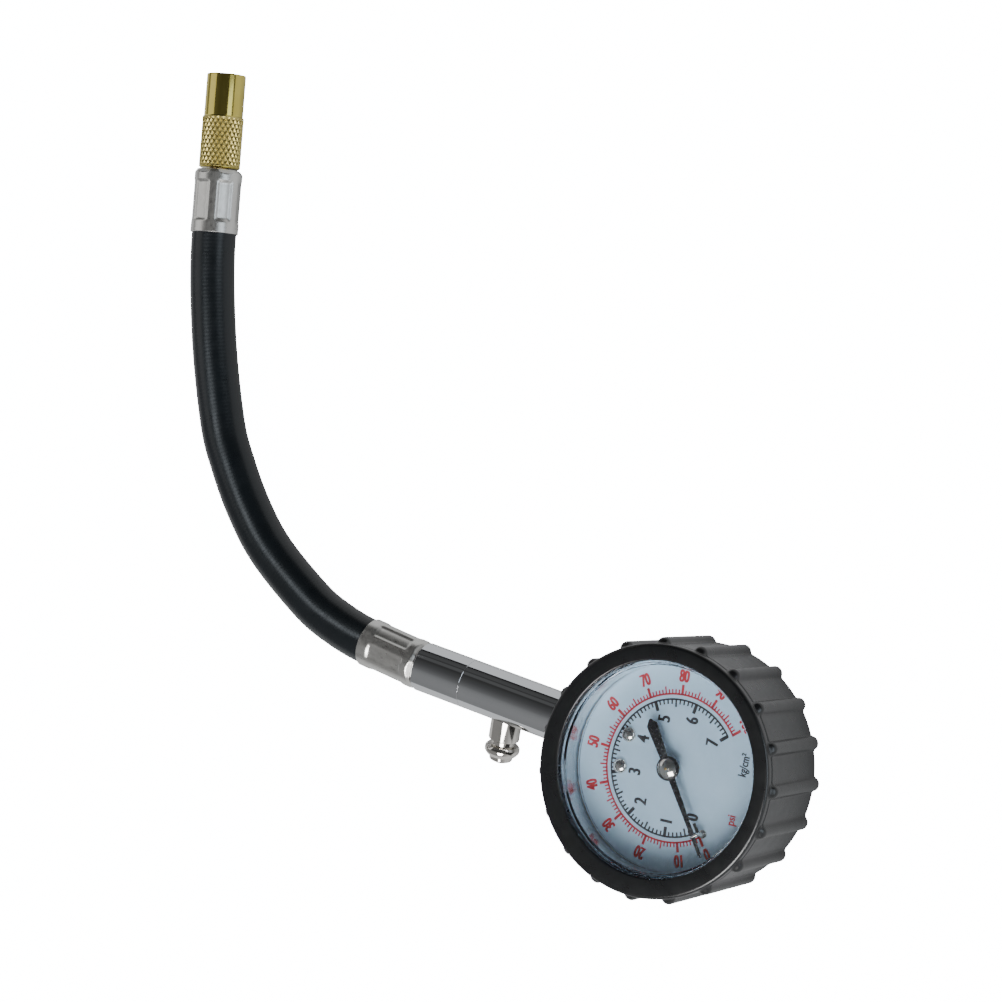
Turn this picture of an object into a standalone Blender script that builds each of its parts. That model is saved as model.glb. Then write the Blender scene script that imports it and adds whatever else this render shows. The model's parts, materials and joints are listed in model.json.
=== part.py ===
"""Dial tire pressure gauge with a rubber boot, a stem, a hose and a brass chuck.

The gauge lies on its back.  The origin is where the dial's axis meets the boot's back face, +Z
points out of the dial, the stem leaves the head along -X, and the hose bends towards +Y.
Sizes below are in millimetres and degrees; meshes are built in metres.
"""
import math

import bmesh
import bpy
from mathutils import Vector
from mathutils.geometry import convex_hull_2d

MM = 0.001
GAP = 0.3                      # room left between neighbouring pieces

# Facets round the turned pieces, from the large to the small
BOOT_FACETS = 57               # three for each rib
CASE_FACETS = 42
STEM_FACETS = 24
SMALL_FACETS = 16
TINY_FACETS = 10
SPRING_POINTS = 8              # along one turn of a spring

# Head
HEAD_DEPTH = 32.5
BOOT_RADIUS = 34.3             # at the rim
BOOT_DRAFT = 0.6               # how much narrower its back is
BOOT_RIM_SHIFT = (-0.5, -0.7)  # the rubber sits a little askew on the case
BOOT_BACK_SHIFT = (-0.65, 0.5)
BOOT_OPENING = 29.15
BOOT_LIP_LOW = 30.2
BOOT_BACK = 2.0
RIB_COUNT = 19
RIB_RADIUS = 2.0
RIB_CREST = 36.0
RIB_FIRST_ANGLE = 85.0
RIB_FACETS = 8
RIB_LOW = 0.6
RIB_HIGH = 30.8
CASE_RADIUS = 31.3
CASE_WALL = 1.0
CASE_BACK = 3.2
CASE_RIM = 27.6
CRYSTAL_RADIUS = 28.8
DIAL_TOP = 20.2
DIAL_THICKNESS = 0.8
DIAL_SCREW_X = -15.0
DIAL_SCREW_Y = 4.5

# Pointer: it rests on the stop pin and turns clockwise, seen from the front
POINTER_REST = -50.3
POINTER_LENGTH = 25.5
POINTER_TAIL = 14.3
POINTER_Z = 23.0
POINTER_HUB = 3.4
POINTER_HALF_WIDTH = 0.9
POINTER_TIP_HALF_WIDTH = 0.35
STOP_PIN_RADIUS = 1.0
STOP_PIN_REACH = 19.7

# Movement: a pinion and a sector of one module
MODULE = 0.27
PINION_TEETH = 10
SECTOR_TEETH = 100             # on the full circle; the sector carries a part of it
SECTOR_SWING = 26.5
TAIL_LENGTH = 6.0
TOOTH_SHARE = 0.3              # tooth thickness over the pitch
PLATE_THICKNESS = 0.8
BOTTOM_PLATE_Z = 13.9
SECTOR_Z = 15.0
SECTOR_THICKNESS = 0.9
LINK_Z = 16.2
TOP_PLATE_Z = 17.6
PILLARS = ((13.0, -6.0), (-7.5, -8.5), (4.0, 8.5))
MOVEMENT_SCREWS = ((-10.6, 4.2), (-10.6, -4.2))
CASE_SCREW_PLACES = ((-24.0, 4.8, 0), (-24.0, -4.8, 0))
VENT_PLACE = (16.0, 0, 0)

# Bourdon tube
TUBE_RADIUS = 21.0
TUBE_HALF_THICKNESS = 1.5
TUBE_HALF_HEIGHT = 2.8
TUBE_WALL = 0.3
TUBE_START = -78.0
TUBE_END = 168.0
TIP_ANGLE = -82.9
TUBE_FACETS = 30               # along the tube

# Stem, measured along its axis from the dial's centre
STEM_Z = 9.2
STEM_RADIUS = 7.1
STEM_START = 31.8
STEM_SEAM = 72.9
CONNECTOR_END = 89.0
BLEED_STATION = 59.5
BLEED_DROP = 13.0              # degrees the bleed valve leans towards the back
NECK_RADIUS = 4.7
NECK_END = 39.5

# Hose and chuck
HOSE_RADIUS = 6.65
FERRULE_RADIUS = 7.1
FERRULE_LENGTH = 18.8
LOWER_FERRULE_START = 89.5
FERRULE_TILT = 3.5             # the crimped ferrule sits a little off the stem's axis
CHUCK_HEADING = 102.4
CHUCK_BASE = (-202.23, 118.38, 7.2)
CHUCK_GAP = 0.5
KNURL_LENGTH = 15.5
KNURL_RADIUS = 6.15
NOSE_LENGTH = 12.4
NOSE_RADIUS = 5.8
MOUTH_RADIUS = 4.1
HOSE_BENDS = (
    (-121.15, 3.25, 9.1),
    (-131.8, 6.9, 8.9),
    (-149.0, 16.1, 8.4),
    (-160.3, 25.45, 8.1),
    (-170.1, 36.4, 7.8),
    (-177.9, 47.7, 7.6),
    (-189.15, 71.95, 7.3),
)


# ---------------------------------------------------------------- tools

def clear_scene():
    for item in list(bpy.data.objects):
        bpy.data.objects.remove(item, do_unlink=True)


def make_collection(name):
    group = bpy.data.collections.new(name)
    bpy.context.scene.collection.children.link(group)
    return group


def make_finish(name, colour, roughness, metallic=0.0, alpha=1.0):
    finish = bpy.data.materials.new(name)
    finish.use_nodes = True
    shader = finish.node_tree.nodes["Principled BSDF"]
    shader.inputs["Base Color"].default_value = (*colour, 1.0)
    shader.inputs["Roughness"].default_value = roughness
    shader.inputs["Metallic"].default_value = metallic
    shader.inputs["Alpha"].default_value = alpha
    return finish


def make_axis(name, place, direction=(0, 0, 1)):
    """An empty whose local Z axis points along direction, to hang pieces on."""
    empty = bpy.data.objects.new(name, None)
    parts.objects.link(empty)
    empty.location = Vector(place) * MM
    empty.rotation_mode = "QUATERNION"
    empty.rotation_quaternion = Vector((0, 0, 1)).rotation_difference(Vector(direction))
    empty.empty_display_size = 0.01
    return empty


def add_object(name, data, finish, parent, place=(0, 0, 0)):
    """Link an object; one with no finish is a cutter."""
    item = bpy.data.objects.new(name, data)
    item.parent = parent
    item.location = Vector(place) * MM
    if finish is None:
        cutters.objects.link(item)
        item.hide_render = True
        item.display_type = "WIRE"
    else:
        parts.objects.link(item)
        data.materials.append(finish)
    return item


def turned(name, outline, finish, parent, place=(0, 0, 0), segments=STEM_FACETS, closed=False,
           sweep=360.0):
    """Turn an outline of (radius, height) points about the object's Z axis."""
    mesh = bpy.data.meshes.new(name)
    points = [(radius * MM, 0.0, height * MM) for radius, height in outline]
    edges = [(i, i + 1) for i in range(len(points) - 1)]
    if closed:
        edges.append((len(points) - 1, 0))
    mesh.from_pydata(points, edges, [])
    item = add_object(name, mesh, finish, parent, place)
    screw = item.modifiers.new("Turn", "SCREW")
    screw.angle = math.radians(sweep)
    screw.steps = segments
    screw.render_steps = segments
    screw.use_merge_vertices = True
    screw.merge_threshold = 1e-5
    screw.use_smooth_shade = True
    return item


def rod(name, radius, low, high, finish, parent, place=(0, 0, 0), segments=SMALL_FACETS):
    return turned(name, [(0, high), (radius, high), (radius, low), (0, low)], finish, parent,
                  place, segments)


def ring(name, inner, outer, low, high, finish, parent, place=(0, 0, 0), segments=STEM_FACETS):
    outline = [(inner, high), (outer, high), (outer, low), (inner, low)]
    return turned(name, outline, finish, parent, place, segments, closed=True)


def torus(name, major, minor, height, finish, parent, segments=SMALL_FACETS, sides=6):
    outline = []
    for i in range(sides):
        angle = math.tau * i / sides
        outline.append((major + minor * math.cos(angle), height - minor * math.sin(angle)))
    return turned(name, outline, finish, parent, segments=segments, closed=True)


def block(name, low, high, finish, parent):
    """A box from its lowest to its highest corner."""
    mesh = bpy.data.meshes.new(name)
    shape = bmesh.new()
    bmesh.ops.create_cube(shape, size=1.0)
    size = [(b - a) * MM for a, b in zip(low, high)]
    middle = [(a + b) * MM / 2 for a, b in zip(low, high)]
    bmesh.ops.scale(shape, vec=size, verts=shape.verts)
    bmesh.ops.translate(shape, vec=middle, verts=shape.verts)
    shape.to_mesh(mesh)
    shape.free()
    return add_object(name, mesh, finish, parent)


def add_spline(curve, points, closed):
    spline = curve.splines.new("POLY")
    spline.points.add(len(points) - 1)
    for target, point in zip(spline.points, points):
        target.co = (*(Vector(point).to_3d() * MM), 1.0)
    spline.use_cyclic_u = closed


def tube(name, points, radius, finish, parent, resolution=2):
    curve = bpy.data.curves.new(name, "CURVE")
    curve.dimensions = "3D"
    curve.bevel_depth = radius * MM
    curve.bevel_resolution = resolution
    curve.use_fill_caps = True
    add_spline(curve, points, closed=False)
    return add_object(name, curve, finish, parent)


def flat_shape(name, outlines, low, high, finish, parent, place=(0, 0, 0)):
    """An outline and its holes, filled from height low to height high."""
    curve = bpy.data.curves.new(name, "CURVE")
    curve.dimensions = "2D"
    curve.fill_mode = "BOTH"
    curve.extrude = (high - low) / 2 * MM
    for outline in outlines:
        add_spline(curve, outline, closed=True)
    middle = Vector(place) + Vector((0, 0, (low + high) / 2))
    return add_object(name, curve, finish, parent, middle)


def as_mesh(item):
    """Swap a curve object for a welded mesh object of the same name, place and finish."""
    bpy.context.view_layer.update()
    graph = bpy.context.evaluated_depsgraph_get()
    mesh = bpy.data.meshes.new_from_object(item.evaluated_get(graph))
    shape = bmesh.new()
    shape.from_mesh(mesh)
    bmesh.ops.remove_doubles(shape, verts=shape.verts, dist=1e-6)
    shape.to_mesh(mesh)
    shape.free()
    name, parent, place = item.name, item.parent, item.matrix_world.copy()
    group = item.users_collection[0]
    bpy.data.objects.remove(item, do_unlink=True)
    solid = bpy.data.objects.new(name, mesh)
    group.objects.link(solid)
    solid.parent = parent
    solid.matrix_world = place
    solid.hide_render = group is cutters
    return solid


def combine(target, tool, operation):
    step = target.modifiers.new(tool.name, "BOOLEAN")
    step.operation = operation
    step.object = tool


def cut(target, *tools):
    for tool in tools:
        combine(target, tool, "DIFFERENCE")


def fuse(target, *tools):
    for tool in tools:
        combine(target, tool, "UNION")


def polar(radius, degrees):
    angle = math.radians(degrees)
    return Vector((radius * math.cos(angle), radius * math.sin(angle)))


def arc_points(radius, start, end, count):
    return [polar(radius, start + (end - start) * i / (count - 1)) for i in range(count)]


def circle_points(centre, radius, count=16):
    return [Vector(centre) + polar(radius, 360.0 * i / count) for i in range(count)]


def hull_outline(discs, count=20):
    """The outline of a belt drawn tight around discs given as (x, y, radius)."""
    points = []
    for x, y, radius in discs:
        points += circle_points((x, y), radius, count)
    return [points[i] for i in convex_hull_2d(points)]


def coil(name, radius, wire, low, high, turns, finish, parent):
    """A compression spring's wire, from height low to height high."""
    count = round(turns * SPRING_POINTS)
    points = []
    for i in range(count + 1):
        flat = polar(radius, 360.0 * i / SPRING_POINTS)
        rise = low + wire + (high - low - 2 * wire) * i / count
        points.append((flat.x, flat.y, rise))
    return tube(name, points, wire, finish, parent, resolution=1)


def smooth_route(points, start_heading, end_heading, spacing):
    """Points at even spacing along a curve that passes through all of points."""
    path = [Vector(point) for point in points]
    tangents = [(b - a) / 2 for a, b in zip(path, path[2:])]
    first = Vector(start_heading).normalized() * (path[1] - path[0]).length
    last = Vector(end_heading).normalized() * (path[-1] - path[-2]).length
    tangents = [first, *tangents, last]
    fine = []
    steps = 40
    for a, b, leave, arrive in zip(path, path[1:], tangents, tangents[1:]):
        for i in range(steps):
            t = i / steps
            fine.append((2 * t**3 - 3 * t**2 + 1) * a + (t**3 - 2 * t**2 + t) * leave
                        + (3 * t**2 - 2 * t**3) * b + (t**3 - t**2) * arrive)
    fine.append(path[-1])
    total = sum((b - a).length for a, b in zip(fine, fine[1:]))
    stride = total / round(total / spacing)
    even = [fine[0]]
    walked = 0.0
    for a, b in zip(fine, fine[1:]):
        piece = (b - a).length
        while walked + piece >= stride * len(even) and len(even) < round(total / stride):
            even.append(a.lerp(b, (stride * len(even) - walked) / piece))
        walked += piece
    even.append(fine[-1])
    return even


# ---------------------------------------------------------------- head

def lean_boot(mesh):
    """Narrow the boot towards its back, and shift each level sideways."""
    for vertex in mesh.vertices:
        share = vertex.co.z / (HEAD_DEPTH * MM)
        width = 1.0 - BOOT_DRAFT / BOOT_RADIUS * (1.0 - share)
        shift = Vector(BOOT_BACK_SHIFT).lerp(Vector(BOOT_RIM_SHIFT), share)
        vertex.co.x = vertex.co.x * width + shift.x * MM
        vertex.co.y = vertex.co.y * width + shift.y * MM


def make_boot():
    """The rubber boot: a cup with a lip, grip ribs and a hole for the stem."""
    outline = [
        (0, HEAD_DEPTH), (BOOT_RADIUS - 1.0, HEAD_DEPTH), (BOOT_RADIUS - 0.3, HEAD_DEPTH - 0.3),
        (BOOT_RADIUS, HEAD_DEPTH - 1.0), (BOOT_RADIUS, 1.8), (BOOT_RADIUS - 0.6, 0.5),
        (BOOT_RADIUS - 1.9, 0.0), (0, 0.0),
    ]
    boot = turned("boot", outline, rubber, head, segments=BOOT_FACETS)
    reach = RIB_CREST - RIB_RADIUS
    shoulder = 0.6 * RIB_RADIUS
    bar = [(0, RIB_HIGH), (shoulder, RIB_HIGH - 0.4), (RIB_RADIUS, RIB_HIGH - shoulder),
           (RIB_RADIUS, RIB_LOW + shoulder), (shoulder, RIB_LOW + 0.4), (0, RIB_LOW)]
    for i in range(RIB_COUNT):
        foot = polar(reach, RIB_FIRST_ANGLE - 360.0 * i / RIB_COUNT)
        rib = turned(f"boot_rib_{i + 1}", bar, None, head, (foot.x, foot.y, 0), segments=RIB_FACETS)
        fuse(boot, rib)
    boot = as_mesh(boot)
    lean_boot(boot.data)
    hollow = [
        (0, HEAD_DEPTH + 1.0), (BOOT_OPENING + 1.75, HEAD_DEPTH + 1.0),
        (BOOT_OPENING, HEAD_DEPTH - 0.4), (BOOT_OPENING, BOOT_LIP_LOW),
        (CASE_RADIUS + GAP, BOOT_LIP_LOW), (CASE_RADIUS + GAP, BOOT_BACK), (0, BOOT_BACK),
    ]
    cut(boot, turned("boot_hollow", hollow, None, head, segments=BOOT_FACETS))
    cut(boot, rod("boot_stem_hole", STEM_RADIUS + 0.4, 25.0, 45.0, None, stem,
                  segments=STEM_FACETS))


def make_case():
    """The pressed steel case: a cup with holes for the stem, its screws and the vent plug."""
    inner = CASE_RADIUS - CASE_WALL
    floor = CASE_BACK + 0.8
    outline = [(0, floor), (inner, floor), (inner, CASE_RIM), (CASE_RADIUS, CASE_RIM),
               (CASE_RADIUS, CASE_BACK + 0.7), (CASE_RADIUS - 0.7, CASE_BACK), (0, CASE_BACK)]
    case = turned("case", outline, steel, head, segments=CASE_FACETS)
    cut(case, rod("case_stem_hole", NECK_RADIUS + 0.4, 25.0, 36.0, None, stem))
    for i, place in enumerate(CASE_SCREW_PLACES):
        cut(case, rod(f"case_screw_hole_{i + 1}", 1.5, 0.0, 6.0, None, head, place))
    cut(case, rod("vent_hole", 3.2, 0.0, 6.0, None, head, VENT_PLACE))
    plug = [(0, 5.0), (3.6, 5.0), (3.6, floor + GAP), (2.9, floor + GAP), (2.9, CASE_BACK - GAP),
            (4.0, CASE_BACK - GAP), (4.0, 2.3), (0, 2.3)]
    turned("vent_plug", plug, rubber, head, VENT_PLACE, segments=SMALL_FACETS)


def make_crystal():
    """The clear window, whose skirt stands on the dial, and the gasket under its flange."""
    outline = [
        (0, 31.2), (CRYSTAL_RADIUS - 0.6, 31.2), (CRYSTAL_RADIUS, 30.6), (CRYSTAL_RADIUS, 29.9),
        (CASE_RADIUS, 29.9), (CASE_RADIUS, 28.8), (CRYSTAL_RADIUS, 28.8), (CRYSTAL_RADIUS, 20.6),
        (CRYSTAL_RADIUS - 1.5, 20.6), (CRYSTAL_RADIUS - 1.5, 28.2),
        (CRYSTAL_RADIUS - 2.5, 29.2), (0, 29.2),
    ]
    turned("crystal", outline, clear_plastic, head, segments=CASE_FACETS)
    ring("crystal_gasket", 29.9, CASE_RADIUS, CASE_RIM + GAP, 28.5, gasket_rubber, head,
         segments=CASE_FACETS)


def make_dial():
    """The printed plate with its two screws and the pointer's stop pin."""
    low = DIAL_TOP - DIAL_THICKNESS
    holes = [circle_points((0, 0), 2.0)]
    screws = [(DIAL_SCREW_X, side * DIAL_SCREW_Y) for side in (1, -1)]
    holes += [circle_points(place, 1.0, 12) for place in screws]
    holes.append(circle_points(stop_pin_place, 0.95, 12))
    outer = circle_points((0, 0), 29.7, CASE_FACETS)
    flat_shape("dial_plate", [outer, *holes], low, DIAL_TOP, dial_paint, head)
    head_z = DIAL_TOP + GAP
    profile = [(0, head_z + 1.1), (0.9, head_z + 0.95), (1.5, head_z + 0.55), (1.8, head_z),
               (0.65, head_z), (0.65, 16.9), (0, 16.9)]
    for i, (x, y) in enumerate(screws):
        turned(f"dial_screw_{i + 1}", profile, nickel, head, (x, y, 0), segments=TINY_FACETS)
    pin = [(0, 24.7), (0.7, 24.7), (STOP_PIN_RADIUS, 24.4), (STOP_PIN_RADIUS, head_z),
           (0.6, head_z), (0.6, low - 0.8), (0, low - 0.8)]
    turned("stop_pin", pin, nickel, head, stop_pin_place.to_3d(), segments=TINY_FACETS)


def make_pointer():
    """The black pointer with its hub, and the domed cap that covers the arbor."""
    def blade(length, root_half, end_half, direction):
        lift = math.asin(root_half / POINTER_HUB)
        root = POINTER_HUB * math.cos(lift)
        return [Vector((root, -root_half)) * direction, Vector((length, -end_half)) * direction]

    needle_low, needle_tip = blade(POINTER_LENGTH, POINTER_HALF_WIDTH, POINTER_TIP_HALF_WIDTH, 1)
    tail_half = 1.4
    tail_root = math.sqrt(POINTER_HUB**2 - tail_half**2)
    outline = [needle_low, needle_tip, Vector((needle_tip.x, -needle_tip.y)),
               Vector((needle_low.x, -needle_low.y))]
    rise = math.degrees(math.atan2(-needle_low.y, needle_low.x))
    fall = math.degrees(math.atan2(tail_half, -tail_root))
    side = [polar(POINTER_HUB, rise + (fall - rise) * i / 8) for i in range(1, 8)]
    outline += side
    outline += [Vector((-tail_root, tail_half)), Vector((-POINTER_TAIL + 1.9, tail_half)),
                Vector((-POINTER_TAIL, 0)), Vector((-POINTER_TAIL + 1.9, -tail_half)),
                Vector((-tail_root, -tail_half))]
    outline += [Vector((point.x, -point.y)) for point in reversed(side)]
    shape = flat_shape("pointer", [outline], POINTER_Z, POINTER_Z + 0.5, pointer_paint, head)
    shape = as_mesh(shape)
    shape.rotation_euler.z = math.radians(POINTER_REST)
    fuse(shape, rod("pointer_boss", 1.7, POINTER_Z - 1.6, POINTER_Z + 0.3, None, head))
    fuse(shape, rod("pointer_disc", POINTER_HUB, POINTER_Z + 0.1, POINTER_Z + 0.7, None, head))
    cut(shape, rod("pointer_bore", 0.9, POINTER_Z - 3, POINTER_Z + 3, None, head, segments=TINY_FACETS))
    base = POINTER_Z + 1.0
    cap = [(0, base + 1.0), (1.4, base + 0.9), (2.4, base + 0.6), (2.9, base + 0.1),
           (2.9, base), (0, base)]
    turned("pointer_cap", cap, nickel, head, segments=SMALL_FACETS)


# ---------------------------------------------------------------- movement

def gear_outline(teeth, numbers, first_angle):
    """Corners of the teeth of a gear of the movement's module, one tooth for each number."""
    pitch_radius = MODULE * teeth / 2
    root = pitch_radius - 1.3 * MODULE
    tip = pitch_radius + 0.8 * MODULE
    step = 360.0 / teeth
    half = step * TOOTH_SHARE / 2
    points = []
    for number in numbers:
        middle = first_angle + step * number
        for radius, share in ((root, -1.35), (tip, -0.65), (tip, 0.65), (root, 1.35)):
            points.append(polar(radius, middle + half * share))
    return points


def make_pinion():
    """The pinion and the arbor that carries the pointer, in one piece."""
    facing = math.degrees(math.atan2(sector_pivot.y, sector_pivot.x))
    outline = gear_outline(PINION_TEETH, range(PINION_TEETH), facing + 180.0 / PINION_TEETH)
    shape = flat_shape("pinion_arbor", [outline], SECTOR_Z - 0.1, SECTOR_Z + 1.1, brass, head)
    shape = as_mesh(shape)
    fuse(shape, rod("arbor_shaft", 0.6, BOTTOM_PLATE_Z - 0.8, POINTER_Z + 0.7, None, head,
                    segments=TINY_FACETS))


def make_sector():
    """The toothed sector, with its axle and the pin of its tail."""
    facing = math.degrees(math.atan2(-sector_pivot.y, -sector_pivot.x))
    spread = math.ceil(SECTOR_SWING * SECTOR_TEETH / 360.0) + 2
    outline = gear_outline(SECTOR_TEETH, range(-spread, 3), facing)
    hub = 1.9
    tail_half = 0.9
    tail = tail_pin - sector_pivot
    tail_angle = math.degrees(math.atan2(tail.y, tail.x))
    teeth_low = math.degrees(math.atan2(outline[0].y, outline[0].x))
    teeth_high = math.degrees(math.atan2(outline[-1].y, outline[-1].x))
    inner = MODULE * SECTOR_TEETH / 2 - 2.0
    outline.append(polar(inner, teeth_high))
    outline += arc_points(hub, teeth_high + 10, tail_angle + 300, 5)
    outline += [tail + point for point in arc_points(tail_half, tail_angle - 90, tail_angle + 90, 5)]
    outline += arc_points(hub, tail_angle + 60, teeth_low - 10, 5)
    outline.append(polar(inner, teeth_low))
    top = SECTOR_Z + SECTOR_THICKNESS
    place = sector_pivot.to_3d()
    shape = flat_shape("sector_gear", [outline], SECTOR_Z, top, brass, head, place)
    shape = as_mesh(shape)
    fuse(shape, rod("sector_axle", 0.7, BOTTOM_PLATE_Z - 0.6, TOP_PLATE_Z + 0.7, None, head, place,
                    segments=TINY_FACETS))
    fuse(shape, rod("tail_pin", 0.45, top - 0.4, LINK_Z + 1.0, None, head, tail_pin.to_3d(),
                    segments=TINY_FACETS))


def make_link():
    """The link from the tube's tip to the sector's tail."""
    run = tip_pin - tail_pin
    outline = hull_outline([(0, 0, 1.5), (run.x, run.y, 1.5)])
    holes = [circle_points((0, 0), 0.75, 12), circle_points(run, 0.9, 12)]
    flat_shape("link", [outline, *holes], LINK_Z, LINK_Z + 0.7, steel, head, tail_pin.to_3d())


def make_movement_frame():
    """Two plates, three pillars between them and the screws that hold the frame."""
    posts = [(x, y, 2.2) for x, y in PILLARS]
    pivot = (sector_pivot.x, sector_pivot.y, 2.6)
    ears = [(x, y, 2.0) for x, y in MOVEMENT_SCREWS]
    bearings = [circle_points((0, 0), 0.95, 12), circle_points(sector_pivot, 1.05, 12)]
    screw_holes = [circle_points(place, 1.1, 12) for place in MOVEMENT_SCREWS]
    flat_shape("movement_bottom_plate", [hull_outline([*posts, pivot, *ears]), *bearings,
                                         *screw_holes],
               BOTTOM_PLATE_Z, BOTTOM_PLATE_Z + PLATE_THICKNESS, brass, head)
    flat_shape("movement_top_plate", [hull_outline([*posts, pivot]), *bearings],
               TOP_PLATE_Z, TOP_PLATE_Z + PLATE_THICKNESS, brass, head)
    low = BOTTOM_PLATE_Z + PLATE_THICKNESS + GAP
    for i, (x, y) in enumerate(PILLARS):
        rod(f"movement_pillar_{i + 1}", 1.0, low, TOP_PLATE_Z - GAP, brass, head, (x, y, 0),
            segments=TINY_FACETS)
    screw = [(0, low + 0.9), (1.2, low + 0.9), (1.5, low + 0.6), (1.5, low), (0.75, low),
             (0.75, 11.4), (0, 11.4)]
    for i, (x, y) in enumerate(MOVEMENT_SCREWS):
        turned(f"movement_screw_{i + 1}", screw, steel, head, (x, y, 0), segments=TINY_FACETS)


def make_hairspring():
    """The flat spiral that keeps the teeth in contact."""
    turns = 2.75
    count = round(turns * SPRING_POINTS)
    points = []
    for i in range(count + 1):
        flat = polar(1.3 + 2.9 * i / count, 360.0 * i / SPRING_POINTS)
        points.append((flat.x, flat.y, 16.85))
    tube("hairspring", points, 0.18, bronze, head, resolution=1)


def make_bourdon_tube():
    """The flattened C-shaped tube and the tip piece that closes it."""
    sides = 8
    outline = []
    for i in range(sides):
        angle = math.tau * i / sides
        outline.append((TUBE_RADIUS + TUBE_HALF_THICKNESS * math.cos(angle),
                        -TUBE_HALF_HEIGHT * math.sin(angle)))
    pipe = turned("bourdon_tube", outline, bronze, head, (0, 0, STEM_Z), segments=TUBE_FACETS,
                  closed=True, sweep=TUBE_END - TUBE_START)
    pipe.rotation_euler.z = math.radians(TUBE_START)
    wall = pipe.modifiers.new("Wall", "SOLIDIFY")
    wall.thickness = TUBE_WALL * MM
    wall.offset = -1.0
    low, high = STEM_Z - 3.0, STEM_Z + 3.0
    tip = block("bourdon_tip", (-1.7, -1.5, low), (1.7, 1.5, high), brass, head)
    tip.location = tip_pin.to_3d() * MM
    tip.rotation_euler.z = math.radians(TIP_ANGLE)
    fuse(tip, rod("tip_pin", 0.5, high - 0.5, LINK_Z + 1.0, None, head, tip_pin.to_3d(),
                  segments=TINY_FACETS))


def make_socket_block():
    """The block that joins the stem, the tube and the movement."""
    low = CASE_BACK + 0.8 + GAP
    top = BOTTOM_PLATE_Z - GAP
    body = block("socket_block", (-29.0, -7.0, low), (-8.5, 7.0, top), brass, head)
    fuse(body, rod("block_neck", NECK_RADIUS, 28.0, NECK_END, None, stem))
    post_top = DIAL_TOP - DIAL_THICKNESS - GAP
    for i, side in enumerate((1, -1)):
        place = (DIAL_SCREW_X, side * DIAL_SCREW_Y, 0)
        fuse(body, rod(f"dial_post_{i + 1}", 2.0, top - 1.0, post_top, None, head, place,
                       segments=TINY_FACETS))
    for i, side in enumerate((1, -1)):
        place = (DIAL_SCREW_X, side * DIAL_SCREW_Y, 0)
        cut(body, rod(f"dial_post_hole_{i + 1}", 1.0, 16.5, 22.0, None, head, place,
                      segments=TINY_FACETS))
    for i, (x, y) in enumerate(MOVEMENT_SCREWS):
        cut(body, rod(f"movement_screw_hole_{i + 1}", 1.1, 11.0, 16.0, None, head, (x, y, 0),
                      segments=TINY_FACETS))
    for i, place in enumerate(CASE_SCREW_PLACES):
        cut(body, rod(f"block_screw_hole_{i + 1}", 1.5, 2.0, 7.6, None, head, place,
                      segments=TINY_FACETS))
    cut(body, rod("block_bore", 1.5, 20.0, NECK_END + 5, None, stem, segments=TINY_FACETS))
    cross = make_axis("block_cross_axis", (-20.6, 0, STEM_Z), (0, 1, 0))
    cut(body, rod("block_cross_bore", 1.0, 0.0, 5.0, None, cross, segments=TINY_FACETS))
    room = 0.35                # of solder round the tube's end
    inner = TUBE_RADIUS - TUBE_HALF_THICKNESS - room
    outer = TUBE_RADIUS + TUBE_HALF_THICKNESS + room
    half_height = TUBE_HALF_HEIGHT + room
    pocket_start, pocket_end = 150.0, TUBE_END + 1.5
    pocket = arc_points(outer, pocket_start, pocket_end, 7)
    pocket += arc_points(inner, pocket_end, pocket_start, 7)
    pocket = flat_shape("tube_pocket", [pocket], -half_height, half_height, None, head, (0, 0, STEM_Z))
    cut(body, as_mesh(pocket))
    screw_head = CASE_BACK - GAP
    screw = [(0, 7.2), (1.2, 7.2), (1.2, screw_head), (1.9, screw_head), (1.9, 2.3), (0, 2.3)]
    for i, place in enumerate(CASE_SCREW_PLACES):
        turned(f"case_screw_{i + 1}", screw, steel, head, place, segments=TINY_FACETS)


# ---------------------------------------------------------------- stem

def make_stem():
    """The chromed stem with its bores and the side hole of the bleed valve."""
    top = STEM_SEAM - 0.15
    outline = [
        (5.0, top), (STEM_RADIUS - 0.2, top), (STEM_RADIUS, top - 0.2),
        (STEM_RADIUS, STEM_START + 0.4), (STEM_RADIUS - 0.4, STEM_START), (5.0, STEM_START),
        (5.0, NECK_END + 0.5), (2.0, NECK_END + 0.5), (2.0, 63.0), (3.2, 63.0), (3.2, 70.5),
        (5.0, 70.5),
    ]
    body = turned("stem_body", outline, chrome, stem, closed=True)
    cut(body, rod("bleed_port", 3.3, -1.6, 9.0, None, bleed))


def make_check_valve():
    """The poppet that holds the reading, and its spring."""
    poppet = [(0, 70.5), (2.6, 70.5), (2.6, 68.9), (1.1, 68.9), (1.1, 65.5), (0, 65.5)]
    turned("check_poppet", poppet, brass, stem, segments=SMALL_FACETS)
    coil("check_spring", 2.1, 0.25, 63.2, 68.6, 3.5, steel, stem)


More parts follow.
